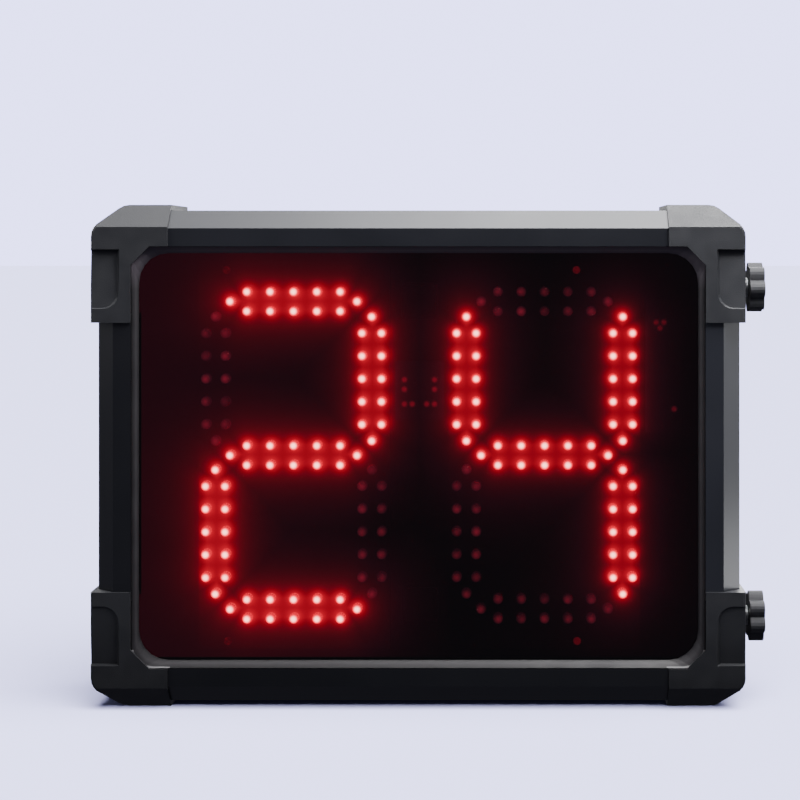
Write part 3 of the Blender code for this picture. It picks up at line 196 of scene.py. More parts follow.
# Corner brackets: cast in a zinc and aluminium alloy, left as they come from the mould, with a dull skin
# that is slightly pitted. They hold the mitred rail ends and carry the knobs' threaded inserts.
cast, tree, shader = new_finish("cast_alloy_skin", 0.5, 1.0)
skin = noise(tree, 420, detail=5)
vary(tree, shader, "Base Color", noise(tree, 45), (0.3, (0.33, 0.34, 0.35)), (0.7, (0.45, 0.46, 0.47)))
vary(tree, shader, "Roughness", skin, (0.3, 0.42), (0.7, 0.60))
bump(tree, shader, skin, 0.35, 0.0003)
give(cast, "corner_bracket_top_left", "corner_bracket_top_right", "corner_bracket_bottom_left",
     "corner_bracket_bottom_right")

# Corner caps: injection moulded in black glass-filled nylon. The mould is spark-eroded, which gives a fine
# even grain, and the plastic dulls and greys a little where it is handled. Low down the colour is painted
# darker, to 0.45 of it near the floor, as painted shade on the lower caps.
fine_grain = bpy.data.node_groups.new("fine_grain", "ShaderNodeTree")
fine_grain.interface.new_socket("Scale", in_out="INPUT", socket_type="NodeSocketFloat")
fine_grain.interface.new_socket("Height", in_out="OUTPUT", socket_type="NodeSocketFloat")
fine_grain.interface.new_socket("Blotch", in_out="OUTPUT", socket_type="NodeSocketFloat")
tree = fine_grain
source = tree.nodes.new("NodeGroupInput")
result = tree.nodes.new("NodeGroupOutput")
place = tree.nodes.new("ShaderNodeTexCoord")
grain = tree.nodes.new("ShaderNodeTexNoise")
grain.inputs["Detail"].default_value = 3
blotch = tree.nodes.new("ShaderNodeTexNoise")
blotch.inputs["Scale"].default_value = 70
blotch.inputs["Detail"].default_value = 4
tree.links.new(place.outputs["Object"], grain.inputs["Vector"])
tree.links.new(place.outputs["Object"], blotch.inputs["Vector"])
tree.links.new(source.outputs["Scale"], grain.inputs["Scale"])
tree.links.new(grain.outputs["Fac"], result.inputs["Height"])
tree.links.new(blotch.outputs["Fac"], result.inputs["Blotch"])


def grained(name, dark, light, roughness, scale, strength):
    """A finish with an even fine grain, its colour between two shades and its roughness in a range."""
    finish, tree, shader = new_finish(name, roughness[0])
    surface = tree.nodes.new("ShaderNodeGroup")
    surface.node_tree = fine_grain
    surface.inputs["Scale"].default_value = scale
    vary(tree, shader, "Base Color", surface.outputs["Blotch"], (0.3, dark), (0.7, light))
    vary(tree, shader, "Roughness", surface.outputs["Blotch"], (0.3, roughness[0]), (0.7, roughness[1]))
    bump(tree, shader, surface.outputs["Height"], strength, 0.0003)
    return finish


def coordinates(tree):
    """A piece's own X, Y and Z, in metres."""
    place = tree.nodes.new("ShaderNodeTexCoord")
    apart = tree.nodes.new("ShaderNodeSeparateXYZ")
    tree.links.new(place.outputs["Object"], apart.inputs["Vector"])
    return apart.outputs


def from_to(tree, value, start, end):
    """0 where a value is at its start, 1 where it is at its end, and evenly between."""
    node = tree.nodes.new("ShaderNodeMapRange")
    node.inputs["From Min"].default_value = start
    node.inputs["From Max"].default_value = end
    tree.links.new(value, node.inputs["Value"])
    return node.outputs["Result"]


def mixed(tree, kind, factor, first, second):
    """Two colours brought together. They and the factor are sockets or fixed values."""
    node = tree.nodes.new("ShaderNodeMix")
    node.data_type = "RGBA"
    node.blend_type = kind
    for label, value in (("Factor", factor), ("A", first), ("B", second)):
        if isinstance(value, bpy.types.NodeSocket):
            tree.links.new(value, node.inputs[label])
        else:
            node.inputs[label].default_value = value
    return node.outputs["Result"]


sole, shade_fade_height = 0.010, 0.085
moulded = grained("moulded_nylon", (0.034, 0.035, 0.040), (0.042, 0.043, 0.049), (0.42, 0.55), 1300, 0.4)
tree = moulded.node_tree
shader = tree.nodes["Principled BSDF"]
# painted shade: the caps' colour is darkened towards their feet, to 0.45 of it near the floor
up_the_foot = from_to(tree, coordinates(tree)["Z"], sole, shade_fade_height)
painted_low_shade = ramp(tree, up_the_foot, (0.0, 0.45), (1.0, 1.0))
greyed = shader.inputs["Base Color"].links[0].from_socket
tree.links.new(mixed(tree, "MULTIPLY", 1, greyed, painted_low_shade), shader.inputs["Base Color"])
give(moulded, "corner_cap_top_left", "corner_cap_top_right", "corner_cap_bottom_left",
     "corner_cap_bottom_right")

# Cap screws: two zinc-plated cross-head screws through the side of each cap into its cast bracket, in
# black passivate. One head is turned from a disc, domed, and cut with the cross before it is copied.


def only(piece):
    bpy.ops.object.select_all(action="DESELECT")
    piece.select_set(True)
    bpy.context.view_layer.objects.active = piece


def screw_head(radius, height):
    """A domed head facing up, with a cross recess, standing on the origin. Its sizes are in millimetres."""
    radius, height = radius / 1000, height / 1000
    bpy.ops.object.select_all(action="DESELECT")
    bpy.ops.mesh.primitive_cylinder_add(vertices=24, radius=radius, depth=height,
                                        location=(0, 0, height / 2))
    head = bpy.context.object
    bpy.ops.object.mode_set(mode="EDIT")
    bpy.ops.mesh.select_all(action="DESELECT")
    bpy.ops.object.mode_set(mode="OBJECT")
    for edge in head.data.edges:
        edge.select = all(head.data.vertices[k].co.z > 0 for k in edge.vertices)
    bpy.ops.object.mode_set(mode="EDIT")
    bpy.ops.mesh.bevel(offset=height * 0.6, segments=4, profile=0.6)
    bpy.ops.object.mode_set(mode="OBJECT")
    arms = []
    for turn in (0, 90):
        bpy.ops.object.select_all(action="DESELECT")
        bpy.ops.mesh.primitive_cube_add(size=1, location=(0, 0, height), rotation=(0, 0, radians(turn)),
                                        scale=(radius * 1.15, radius * 0.26, height * 1.1))
        arms.append(bpy.context.object)
    for arm in arms:
        only(head)
        cut = head.modifiers.new("cross", "BOOLEAN")
        cut.object = arm
        bpy.ops.object.modifier_apply(modifier="cross")
        bpy.data.objects.remove(arm)
    only(head)
    bpy.ops.object.transform_apply()
    bpy.ops.object.shade_smooth_by_angle(angle=radians(35))
    return head


def copies(original, name, places, turn, body, finish):
    """One piece made of copies of the original, each turned and set down at its place in millimetres."""
    made = []
    for x, y, z in places:
        only(original)
        bpy.ops.object.duplicate()
        copy = bpy.context.object
        copy.location = (x / 1000, y / 1000, z / 1000)
        copy.rotation_euler = [radians(angle) for angle in turn]
        bpy.ops.object.transform_apply()
        made.append(copy)
    bpy.ops.object.select_all(action="DESELECT")
    for copy in made:
        copy.select_set(True)
    bpy.context.view_layer.objects.active = made[0]
    if len(made) > 1:
        bpy.ops.object.join()
    return settled(made[0], name, body, finish)


def settled(piece, name, body, finish):
    """Names a piece, gives it its finish and the lamps' light, and lets it ride on a body where asked."""
    piece.name = name
    piece.data.materials.clear()
    piece.data.materials.append(finish)
    lit.objects.link(piece)
    if body:
        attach(piece, body)
    return piece


black_zinc, tree, shader = new_finish("black_passivated_zinc", 0.35, 0.9)
vary(tree, shader, "Base Color", noise(tree, 300), (0.35, (0.035, 0.036, 0.04)), (0.65, (0.07, 0.07, 0.08)))
vary(tree, shader, "Roughness", noise(tree, 180), (0.3, 0.28), (0.7, 0.45))
clock_x, clock_z = -7.6, 195.5  # the middle of the clock's front, in millimetres
cap_screw = screw_head(3.4, 1.6)
for side, x, y, heights, turn in (("left", -260.6, -7.5, (-158, -112, 112, 158), -90),
                                  ("right", 245.4, 14, (-160, -110, 110, 160), 90)):
    copies(cap_screw, side + "_cap_screws", [(x, y, clock_z + z) for z in heights], (0, turn, 0),
           "housing", black_zinc)
bpy.data.objects.remove(cap_screw)

# Window bead: a sloping frame moulded in satin black plastic and snapped over the rails' inner lips. Faint
# rubbing marks cover it. A low ridge runs along its middle, painted pale there as a painted highlight, and
# the outer edges of its lower corners are painted pale as a painted highlight too. Its top run, whose slope
# faces down, is painted lighter as painted light.


def sum_up(tree, operation, *values):
    """One step of arithmetic on sockets and plain numbers."""
    node = tree.nodes.new("ShaderNodeMath")
    node.operation = operation
    for socket, value in zip(node.inputs, values):
        if isinstance(value, (int, float)):
            socket.default_value = value
        else:
            tree.links.new(value, socket)
    return node.outputs[0]


def in_millimetres(tree, middle_x, middle_z):
    """Distances across and up from a point on the front of the clock."""
    place = coordinates(tree)
    return (sum_up(tree, "MULTIPLY_ADD", place["X"], 1000.0, -middle_x),
            sum_up(tree, "MULTIPLY_ADD", place["Z"], 1000.0, -middle_z))


bead_finish, tree, shader = new_finish("satin_bead", 0.34)
shader.inputs["Specular IOR Level"].default_value = 0.3
rubbed = noise(tree, 70, detail=6)
place = coordinates(tree)
outer_edge, inner_edge = -0.0503, -0.0454  # how far forward the slope starts and ends
down_slope = from_to(tree, place["Y"], outer_edge, inner_edge)
# the slope's colour across its width, darker towards both edges, with a painted highlight along the middle
# ridge
lip_with_highlight = ((0.22, (0.026, 0.024, 0.027)), (0.40, (0.038, 0.035, 0.039)), (0.60, (0.060, 0.056, 0.061)),
       (0.80, (0.044, 0.041, 0.045)), (1.0, (0.022, 0.020, 0.023)))
across, up = in_millimetres(tree, clock_x, clock_z)
# painted highlight: the outer edges of the lower corners are painted pale
corner_across, corner_up = 192.0, -149.0
corner_highlight_mask = sum_up(tree, "MULTIPLY", sum_up(tree, "LESS_THAN", up, corner_up),
                      sum_up(tree, "GREATER_THAN", sum_up(tree, "ABSOLUTE", across), corner_across))
dark_edge = ramp(tree, down_slope, (0.0, (0.010, 0.009, 0.010)), *lip_with_highlight)
corner_highlight = ramp(tree, down_slope, (0.0, (0.30, 0.29, 0.30)), (0.14, (0.26, 0.25, 0.26)), *lip_with_highlight)
sloping = mixed(tree, "MIX", corner_highlight_mask, dark_edge, corner_highlight)
shade = mixed(tree, "MULTIPLY", 1, sloping, ramp(tree, rubbed, (0.3, 0.85), (0.7, 1.0)))
# painted light: the top run, whose slope faces down and gets little light, is painted lighter
top_light_mask = from_to(tree, place["Z"], 0.325, 0.350)
painted_light_top = mixed(tree, "ADD", top_light_mask, shade, (0.095, 0.078, 0.095, 1))
tree.links.new(painted_light_top, shader.inputs["Base Color"])
vary(tree, shader, "Roughness", rubbed, (0.3, 0.40), (0.7, 0.55))
ridge = ramp(tree, down_slope, (0.0, 0.2), (0.3, 0.3), (0.6, 0.8), (0.8, 0.9), (1.0, 0.7))
bump(tree, shader, ridge, 0.4, 0.0008)
give(bead_finish, "window_bead")

# Display window: a flat sheet of acrylic tinted deep red-brown, so that only the lit lamps show through.
# Cleaning has left very fine marks that vary its gloss.
tinted, tree, shader = new_finish("tinted_acrylic_sheet", 0.04)
shader.inputs["IOR"].default_value = 1.49
shader.inputs["Transmission Weight"].default_value = 1.0
shader.inputs["Specular IOR Level"].default_value = 0.2
wiped = noise(tree, 14, (1, 1, 3), 5)
vary(tree, shader, "Base Color", wiped, (0.3, (0.29, 0.13, 0.14)), (0.7, (0.32, 0.15, 0.16)))
vary(tree, shader, "Roughness", wiped, (0.35, 0.015), (0.75, 0.06))
give(tinted, "display_window")

# Gaskets: one ring of closed-cell foam behind the window and one round the door, matt, with small cells
# showing. Both are cut from sheet and held by the pressure of what they seal.


def pattern(tree, kind, scale):
    """A texture on the piece's own coordinates."""
    place = tree.nodes.new("ShaderNodeTexCoord")
    texture = tree.nodes.new("ShaderNodeTex" + kind)
    texture.inputs["Scale"].default_value = scale
    tree.links.new(place.outputs["Object"], texture.inputs["Vector"])
    return texture.outputs


foam, tree, shader = new_finish("closed_cell_foam", 0.95)
cells = pattern(tree, "Voronoi", 1400)
vary(tree, shader, "Base Color", cells["Distance"], (0.1, (0.008, 0.008, 0.009)),
     (0.7, (0.022, 0.022, 0.024)))
bump(tree, shader, cells["Distance"], 0.5, 0.0004)
give(foam, "window_gasket", "door_seal")

# Digit boards: a board per digit, solder mask in dark red, each with seven segments of twelve lamps. The
# tens show a 2 and the units a 4. A lit lamp has a pale core and a red rim and lights up the board round
# it, and an unlit one only picks up a dull red from its neighbours.
lamp_distance = bpy.data.node_groups.new("lamp_distance", "ShaderNodeTree")
for label in ("Along", "Across", "Pitch", "End"):
    lamp_distance.interface.new_socket(label, in_out="INPUT", socket_type="NodeSocketFloat")
for label in ("Lamp", "Bar"):
    lamp_distance.interface.new_socket(label, in_out="OUTPUT", socket_type="NodeSocketFloat")


def length_of(tree, a, b):
    squares = [sum_up(tree, "MULTIPLY", value, value) for value in (a, b)]
    return sum_up(tree, "SQRT", sum_up(tree, "ADD", *squares))


# How far a point is, in millimetres, from the nearest lamp of one segment and from the segment's bar: two
# rows of five lamps either side of its middle line, and one more lamp at each end.
row_offset = 7.6
tree = lamp_distance
source = tree.nodes.new("NodeGroupInput")
result = tree.nodes.new("NodeGroupOutput")
along, across, pitch, end = (source.outputs[label] for label in ("Along", "Across", "Pitch", "End"))
nearest = sum_up(tree, "ROUND", sum_up(tree, "DIVIDE", along, pitch))
nearest = sum_up(tree, "MAXIMUM", sum_up(tree, "MINIMUM", nearest, 2.0), -2.0)
aside = sum_up(tree, "SUBTRACT", along, sum_up(tree, "MULTIPLY", nearest, pitch))
above = sum_up(tree, "SUBTRACT", sum_up(tree, "ABSOLUTE", across), row_offset)
past_end = sum_up(tree, "SUBTRACT", sum_up(tree, "ABSOLUTE", along), end)
to_lamp = sum_up(tree, "MINIMUM", length_of(tree, aside, above), length_of(tree, past_end, across))
past_rows = sum_up(tree, "SUBTRACT", sum_up(tree, "ABSOLUTE", along), sum_up(tree, "MULTIPLY", pitch, 2.0))
to_rows = length_of(tree, sum_up(tree, "MAXIMUM", past_rows, 0.0), sum_up(tree, "MAXIMUM", above, 0.0))
to_end = length_of(tree, sum_up(tree, "MAXIMUM", past_end, 0.0), across)
tree.links.new(to_lamp, result.inputs["Lamp"])
tree.links.new(sum_up(tree, "MINIMUM", to_rows, to_end), result.inputs["Bar"])


def fade(tree, distance, reach, strength):
    """Light that falls away with distance, in millimetres."""
    power = sum_up(tree, "MULTIPLY", distance, -1.0 / reach)
    return sum_up(tree, "MULTIPLY", sum_up(tree, "EXPONENT", power), strength)


segments = {"top": (0, 120, True), "middle": (0, 0, True), "bottom": (0, -120, True),
            "upper_left": (-61, 59.7, False), "upper_right": (61, 59.7, False),
            "lower_left": (-61, -59.7, False), "lower_right": (61, -59.7, False)}
level_bar, upright_bar = (18.2, 49.5), (17.8, 48.4)  # from lamp to lamp, and from the middle to an end lamp
lens_radius = 3.9
board_face = -29.6
lamp_power = 17
digits = {"tens": (-105.5, ("top", "upper_right", "middle", "lower_left", "bottom")),
          "units": (90.3, ("upper_left", "upper_right", "middle", "lower_right"))}


def nearest_lamps(tree, board, lit_only=False):
    """Distances to the nearest lit and unlit lamp of one digit, and to its nearest lit bar."""
    middle_x, shown = digits[board]
    x, z = in_millimetres(tree, middle_x, clock_z)
    nearest = {}
    for label, (middle, height, level) in segments.items():
        if lit_only and label not in shown:
            continue
        group = tree.nodes.new("ShaderNodeGroup")
        group.node_tree = lamp_distance
        group.label = label
        run = sum_up(tree, "SUBTRACT", x, middle)
        rise = sum_up(tree, "SUBTRACT", z, height)
        tree.links.new(run if level else rise, group.inputs["Along"])
        tree.links.new(rise if level else run, group.inputs["Across"])
        pitch, end = level_bar if level else upright_bar
        group.inputs["Pitch"].default_value = pitch
        group.inputs["End"].default_value = end
        kind = "lit" if label in shown else "dark"
        for measure in ("Lamp", "Bar"):
            key = kind + measure
            value = group.outputs[measure]
            nearest[key] = value if key not in nearest else sum_up(tree, "MINIMUM", nearest[key], value)
    return nearest


def glow_round_bars(tree, distance, near=(5.5, 0.050), wide=(17.0, 0.020), haze=0.0024):
    """A short bright glow, and a wide faint one that the tinted window carries further on the left, where a
    haze of the room's light lies over everything. Each glow has a reach in millimetres and a strength."""
    x, _ = in_millimetres(tree, 0.0, 0.0)
    carried = sum_up(tree, "MULTIPLY_ADD", x, -0.0028, 0.9)
    far = sum_up(tree, "MULTIPLY", fade(tree, distance, *wide), carried)
    to_the_left = sum_up(tree, "MAXIMUM", sum_up(tree, "MULTIPLY_ADD", x, -0.0063, -0.25), 0.0)
    far = sum_up(tree, "ADD", far, sum_up(tree, "MULTIPLY", to_the_left, haze))
    return sum_up(tree, "ADD", fade(tree, distance, *near), far)


def in_front_of(tree, depth):
    """1 on the part of a piece that is nearer the viewer than a depth in millimetres, and 0 behind it."""
    return sum_up(tree, "LESS_THAN", coordinates(tree)["Y"], depth / 1000)


def scaled(tree, colour, strength):
    node = tree.nodes.new("ShaderNodeVectorMath")
    node.operation = "SCALE"
    node.inputs[0].default_value = colour
    tree.links.new(strength, node.inputs["Scale"])
    return node.outputs["Vector"]


def together(tree, first, second):
    node = tree.nodes.new("ShaderNodeVectorMath")
    node.operation = "ADD"
    tree.links.new(first, node.inputs[0])
    tree.links.new(second, node.inputs[1])
    return node.outputs["Vector"]


def red_light(tree, strength, tint=(1.0, 0.0, 0.05)):
    """The lamps' red, which turns a little purple where it is faint and the room's light shows through."""
    faint = sum_up(tree, "MINIMUM", strength, 0.0025)
    return together(tree, scaled(tree, tint, strength), scaled(tree, (0.0, 0.10, 0.35), faint))


def shine(tree, shader, colour):
    """Lets a finish give off light as strong as the lamps'."""
    tree.links.new(colour, shader.inputs["Emission Color"])
    shader.inputs["Emission Strength"].default_value = lamp_power


def glow_round_lamps(tree, distance, reach=5.5, strength=0.115):
    squared = sum_up(tree, "MULTIPLY", distance, sum_up(tree, "DIVIDE", distance, reach))
    return fade(tree, squared, reach, strength)


def glow_beside_digits(tree):
    """The light that both digits throw on what stands beside their boards."""
    tens = nearest_lamps(tree, "tens", lit_only=True)
    units = nearest_lamps(tree, "units", lit_only=True)
    to_lamp, to_bar = [sum_up(tree, "MINIMUM", tens[key], units[key]) for key in ("litLamp", "litBar")]
    return sum_up(tree, "ADD", glow_round_lamps(tree, to_lamp), glow_round_bars(tree, to_bar))


core_reach = 5.0
dull_reach, dull_strength = 4.2, 0.06
for board in digits:
    finish, tree, shader = new_finish("lamps_of_the_" + board, 0.3)
    nearest = nearest_lamps(tree, board)
    to_lit, to_dark = nearest["litLamp"], nearest["darkLamp"]
    core = ramp(tree, sum_up(tree, "DIVIDE", to_lit, core_reach),
                (0.0, (1.0, 0.95, 0.72)), (0.24, (1.0, 0.85, 0.66)), (0.46, (0.75, 0.22, 0.20)),
                (0.60, (0.40, 0.01, 0.03)), (0.78, (0.20, 0.0, 0.012)))
    glow = sum_up(tree, "ADD", glow_round_lamps(tree, to_lit), glow_round_bars(tree, nearest["litBar"]))
    patchy = noise(tree, 60, detail=2)
    unlit = sum_up(tree, "SUBTRACT", 1.0, sum_up(tree, "DIVIDE", to_dark, dull_reach))
    unlit = sum_up(tree, "MULTIPLY", unlit, sum_up(tree, "MULTIPLY_ADD", patchy, 1.2, -0.2))
    unlit = sum_up(tree, "MULTIPLY", sum_up(tree, "MAXIMUM", unlit, 0.0), dull_strength)
    on_front = in_front_of(tree, board_face + 0.2)
    on_lens = sum_up(tree, "MULTIPLY", sum_up(tree, "LESS_THAN", to_lit, lens_radius), on_front)
    around = together(tree, red_light(tree, sum_up(tree, "MULTIPLY", glow, on_front)),
                      red_light(tree, sum_up(tree, "MULTIPLY", unlit, on_front), (1.0, 0.09, 0.20)))
    shine(tree, shader, mixed(tree, "MIX", on_lens, around, core))
    lens = sum_up(tree, "LESS_THAN", sum_up(tree, "MINIMUM", to_lit, to_dark), lens_radius)
    lens = sum_up(tree, "MULTIPLY", lens, on_front)
    vary(tree, shader, "Base Color", lens, (0.0, (0.014, 0.004, 0.005)), (1.0, (0.12, 0.006, 0.010)))
    vary(tree, shader, "Roughness", lens, (0.0, 0.5), (1.0, 0.18))
    give(finish, "digit_board_" + board)

# Lamps: round lenses of clear epoxy, soldered into the boards, eighty-four to a digit. One is turned and
# rounded over at its tip, and copied to every place.
bpy.ops.object.select_all(action="DESELECT")
bpy.ops.mesh.primitive_cylinder_add(vertices=14, radius=lens_radius / 1000, depth=0.0079,
                                    location=(0, 0, 0.0037))
lens = bpy.context.object
bpy.ops.object.transform_apply()
for face in lens.data.polygons:
    face.select = face.normal.z > 0.9
bpy.ops.object.mode_set(mode="EDIT")
bpy.ops.mesh.select_mode(type="FACE")
bpy.ops.mesh.inset(thickness=0.0002)
bpy.ops.mesh.bevel(offset=0.0022, segments=3, profile=0.55)
bpy.ops.object.mode_set(mode="OBJECT")
bpy.ops.object.shade_smooth_by_angle(angle=radians(50))
for board, (middle_x, _) in digits.items():
    spots = []
    for middle, height, level in segments.values():
        pitch, end = level_bar if level else upright_bar
        rows = [(pitch * k, side) for k in range(-2, 3) for side in (-row_offset, row_offset)]
        for along, across in rows + [(-end, 0), (end, 0)]:
            x, z = (along, across) if level else (across, along)
            spots.append((middle_x + middle + x, board_face, clock_z + height + z))
    copies(lens, board + "_lamp_lenses", spots, (90, 0, 0), "housing",
           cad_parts["digit_board_" + board].material_slots[0].material)
bpy.data.objects.remove(lens)

# Indicator and status boards: two small boards between and beside the digits, each with a few 3 mm lamps
# that are off. Behind the dark window only their tips catch a little red.


def nearest_of(tree, x, z, points):
    """How far a point is, in millimetres, from the nearest of some places on the front."""
    nearest = None
    for across, up in points:
        far = length_of(tree, sum_up(tree, "SUBTRACT", x, across), sum_up(tree, "SUBTRACT", z, up))
        nearest = far if nearest is None else sum_up(tree, "MINIMUM", nearest, far)
    return nearest


tip_radius, tip_reach = 1.7, 3.0
for board, points, brightness in (
        ("indicator_board", [(side * 11.8, up) for side in (-1, 1) for up in (58.6, 51.0, 39.5)]
         + [(-5.7, 39.5), (5.7, 39.5)], 0.036),
        ("status_board", [(185.5, 103.5), (191.5, 103.5), (188.5, 99.0), (199.5, 35.6)], 0.020)):
    finish, tree, shader = new_finish(board + "_lamps", 0.3)
    x, z = in_millimetres(tree, clock_x, clock_z)
    tip = nearest_of(tree, x, z, points)
    spot = sum_up(tree, "SUBTRACT", 1.0, sum_up(tree, "DIVIDE", tip, tip_reach))
    spot = sum_up(tree, "MAXIMUM", spot, 0.0)
    light = sum_up(tree, "ADD", sum_up(tree, "MULTIPLY", spot, brightness), glow_beside_digits(tree))
    light = sum_up(tree, "MULTIPLY", light, in_front_of(tree, board_face + 0.2))
    shine(tree, shader, red_light(tree, light, (1.0, 0.03, 0.11)))
    lens = sum_up(tree, "LESS_THAN", tip, tip_radius)
    vary(tree, shader, "Base Color", lens, (0.0, (0.006, 0.003, 0.004)), (1.0, (0.10, 0.008, 0.012)))
    vary(tree, shader, "Roughness", lens, (0.0, 0.5), (1.0, 0.2))
    give(finish, board)

# Board screws: pan heads, black passivated, that hold the digit boards to the carrier plate. Behind the
# window they are dull spots that catch some red light.
dull_head, tree, shader = new_finish("screws_in_red_light", 0.4, 0.6)
worn = noise(tree, 500)
vary(tree, shader, "Base Color", worn, (0.35, (0.05, 0.03, 0.03)), (0.65, (0.10, 0.05, 0.05)))
shine(tree, shader, red_light(tree, sum_up(tree, "MULTIPLY", worn, 0.03)))
board_screw = screw_head(3.0, 2.0)
copies(board_screw, "digit_board_screws",
       [(x, board_face, z) for x, z in ((-158.6, 340.0), (-157.6, 49.5), (115.4, 340.0), (115.9, 49.5))],
       (90, 0, 0), "housing", dull_head)
bpy.data.objects.remove(board_screw)

# Carrier plate: 1.5 mm steel sheet, black powder coated with a fine orange-peel skin, screwed to the
# shelves of the rails. Its front takes a little red light from the lit digits.


def coated_sheet(name, front):
    """The black coat, which takes the digits' light in front of a depth in millimetres."""
    finish = grained(name, (0.005, 0.005, 0.006), (0.007, 0.007, 0.008), (0.55, 0.65), 700, 0.5)
    tree = finish.node_tree
    light = sum_up(tree, "MULTIPLY", glow_beside_digits(tree), in_front_of(tree, front))
    shine(tree, tree.nodes["Principled BSDF"], red_light(tree, light))
    return finish


plate_front, plate_back = -18.3, -16.8
give(coated_sheet("black_coated_sheet", plate_front + 0.5), "carrier_plate")
plate_screw = screw_head(4.0, 2.2)
copies(plate_screw, "carrier_plate_screws",
       [(x, plate_back, z) for x in (-222, -112, 97, 207) for z in (34.5, 356.5)]
       + [(x, plate_back, z) for x in (-228, 213) for z in (140, 251)],
       (-90, 0, 0), "housing", black_zinc)
bpy.data.objects.remove(plate_screw)

# Blanking plates: two small squares of the same coated sheet that close the plate's spare openings, with
# their corners rounded off.


def block(width, depth, height):
    """A block standing on the origin, its sizes in millimetres."""
    bpy.ops.object.select_all(action="DESELECT")
    bpy.ops.mesh.primitive_cube_add(size=1, location=(0, 0, height / 2000),
                                    scale=(width / 1000, depth / 1000, height / 1000))
    bpy.ops.object.transform_apply()
    return bpy.context.object


def bevel(piece, offset, segments, chosen):
    """Bevels the edges of a piece whose two ends are as asked."""
    for edge in piece.data.edges:
        edge.select = bool(chosen(*[piece.data.vertices[k].co for k in edge.vertices]))
    bpy.ops.object.mode_set(mode="EDIT")
    bpy.ops.mesh.bevel(offset=offset / 1000, segments=segments)
    bpy.ops.object.mode_set(mode="OBJECT")


blank = block(29, 29, 0.8)
bevel(blank, 4, 4, lambda a, b: abs(a.z - b.z) > 0.0001)
copies(blank, "blanking_plates", [(clock_x, plate_front, clock_z + z) for z in (-120, 120)],
       (90, 0, 0), "housing", coated_sheet("black_coated_blank", plate_front - 0.4))
bpy.data.objects.remove(blank)

# Power supply: a folded aluminium case with a dull satin finish, slightly streaked along its length, fixed
# to the back of the carrier plate. Its terminal strip is moulded in smooth black plastic.
casing, tree, shader = new_finish("folded_aluminium_case", 0.4, 1.0)
streaks = noise(tree, 500, (0.03, 1, 1), 3)
vary(tree, shader, "Base Color", streaks, (0.3, (0.50, 0.50, 0.52)), (0.7, (0.62, 0.62, 0.64)))
vary(tree, shader, "Roughness", streaks, (0.3, 0.34), (0.7, 0.48))
bump(tree, shader, streaks, 0.15, 0.0001)
give(casing, "power_supply")
smooth_black = grained("smooth_black_plastic", (0.010, 0.010, 0.011), (0.016, 0.016, 0.018), (0.28, 0.4),
                       2200, 0.1)
give(smooth_black, "supply_terminals")

# Terminal screws: one nickel-plated steel screw for each of the seven ways of the supply's strip. Five of
# them clamp the end of a lead.
nickel, tree, shader = new_finish("nickel_plate", 0.25, 1.0)
vary(tree, shader, "Base Color", noise(tree, 250), (0.35, (0.60, 0.58, 0.54)), (0.65, (0.72, 0.70, 0.66)))
vary(tree, shader, "Roughness", noise(tree, 400), (0.3, 0.2), (0.7, 0.34))
terminal_screw = screw_head(3.0, 1.6)
supply_z, way_pitch = 265.5, 12.486
copies(terminal_screw, "terminal_screws", [(-45.9, 6.0, supply_z + way_pitch * k) for k in range(-3, 4)],
       (-90, 0, 0), "housing", nickel)
bpy.data.objects.remove(terminal_screw)

# Control board: fibreglass with green solder mask, its copper tracks showing as slightly lighter lines, on
# spacers behind the plate. The processor, relay, finned heat sink, two headers, terminal block and round
# capacitor soldered to it each have their own colour. The heat sink and the headers are striped, darker in
# the gaps as painted shade.


def within(tree, value, middle, half):
    """1 where a value is less than a half width from its middle, and 0 elsewhere."""
    away = sum_up(tree, "ABSOLUTE", sum_up(tree, "SUBTRACT", value, middle))
    return sum_up(tree, "LESS_THAN", away, half)


circuit, tree, shader = new_finish("control_board_parts", 0.4)
board_x, board_z = 82.4, 265.5
board_back = -6.8
x, z = in_millimetres(tree, board_x, board_z)
place = coordinates(tree)
tracks = tree.nodes.new("ShaderNodeTexBrick")
tracks.inputs["Scale"].default_value = 90
tracks.inputs["Mortar Size"].default_value = 0.02
tracks.inputs["Color1"].default_value = (0.012, 0.085, 0.030, 1)
tracks.inputs["Color2"].default_value = (0.010, 0.070, 0.026, 1)
tracks.inputs["Mortar"].default_value = (0.035, 0.16, 0.06, 1)
flat = tree.nodes.new("ShaderNodeCombineXYZ")
tree.links.new(place["X"], flat.inputs["X"])
tree.links.new(place["Z"], flat.inputs["Y"])
tree.links.new(flat.outputs["Vector"], tracks.inputs["Vector"])
colour = tracks.outputs["Color"]
raised = sum_up(tree, "GREATER_THAN", place["Y"], (board_back + 0.4) / 1000)
fins = sum_up(tree, "DIVIDE", sum_up(tree, "PINGPONG", x, 2.0), 2.0)
for across, up, half_width, half_height, shade in (
        (0, 0, 8, 8, (0.012, 0.012, 0.013)), (40, 20, 8.5, 10.5, (0.02, 0.06, 0.22)),
        (-40, 25, 16, 7, (0.35, 0.35, 0.36)), (-30, -35, 21, 5, (0.55, 0.54, 0.48)),
        (30, -35, 21, 5, (0.55, 0.54, 0.48)), (45, -5, 10, 5, (0.03, 0.20, 0.06)),
        (18, 30, 6, 6, (0.02, 0.022, 0.03))):
    over = sum_up(tree, "MULTIPLY", within(tree, x, across, half_width), within(tree, z, up, half_height))
    over = sum_up(tree, "MULTIPLY", over, raised)
    if shade[0] > 0.3:
        # painted shade: the gaps between the stripes are painted at 0.15 of the part's colour
        painted_gap_shade = tuple(value * 0.15 for value in shade)
        part = ramp(tree, fins, (0.42, painted_gap_shade), (0.52, shade))
    else:
        part = (*shade, 1)
    colour = mixed(tree, "MIX", over, colour, part)
tree.links.new(colour, shader.inputs["Base Color"])
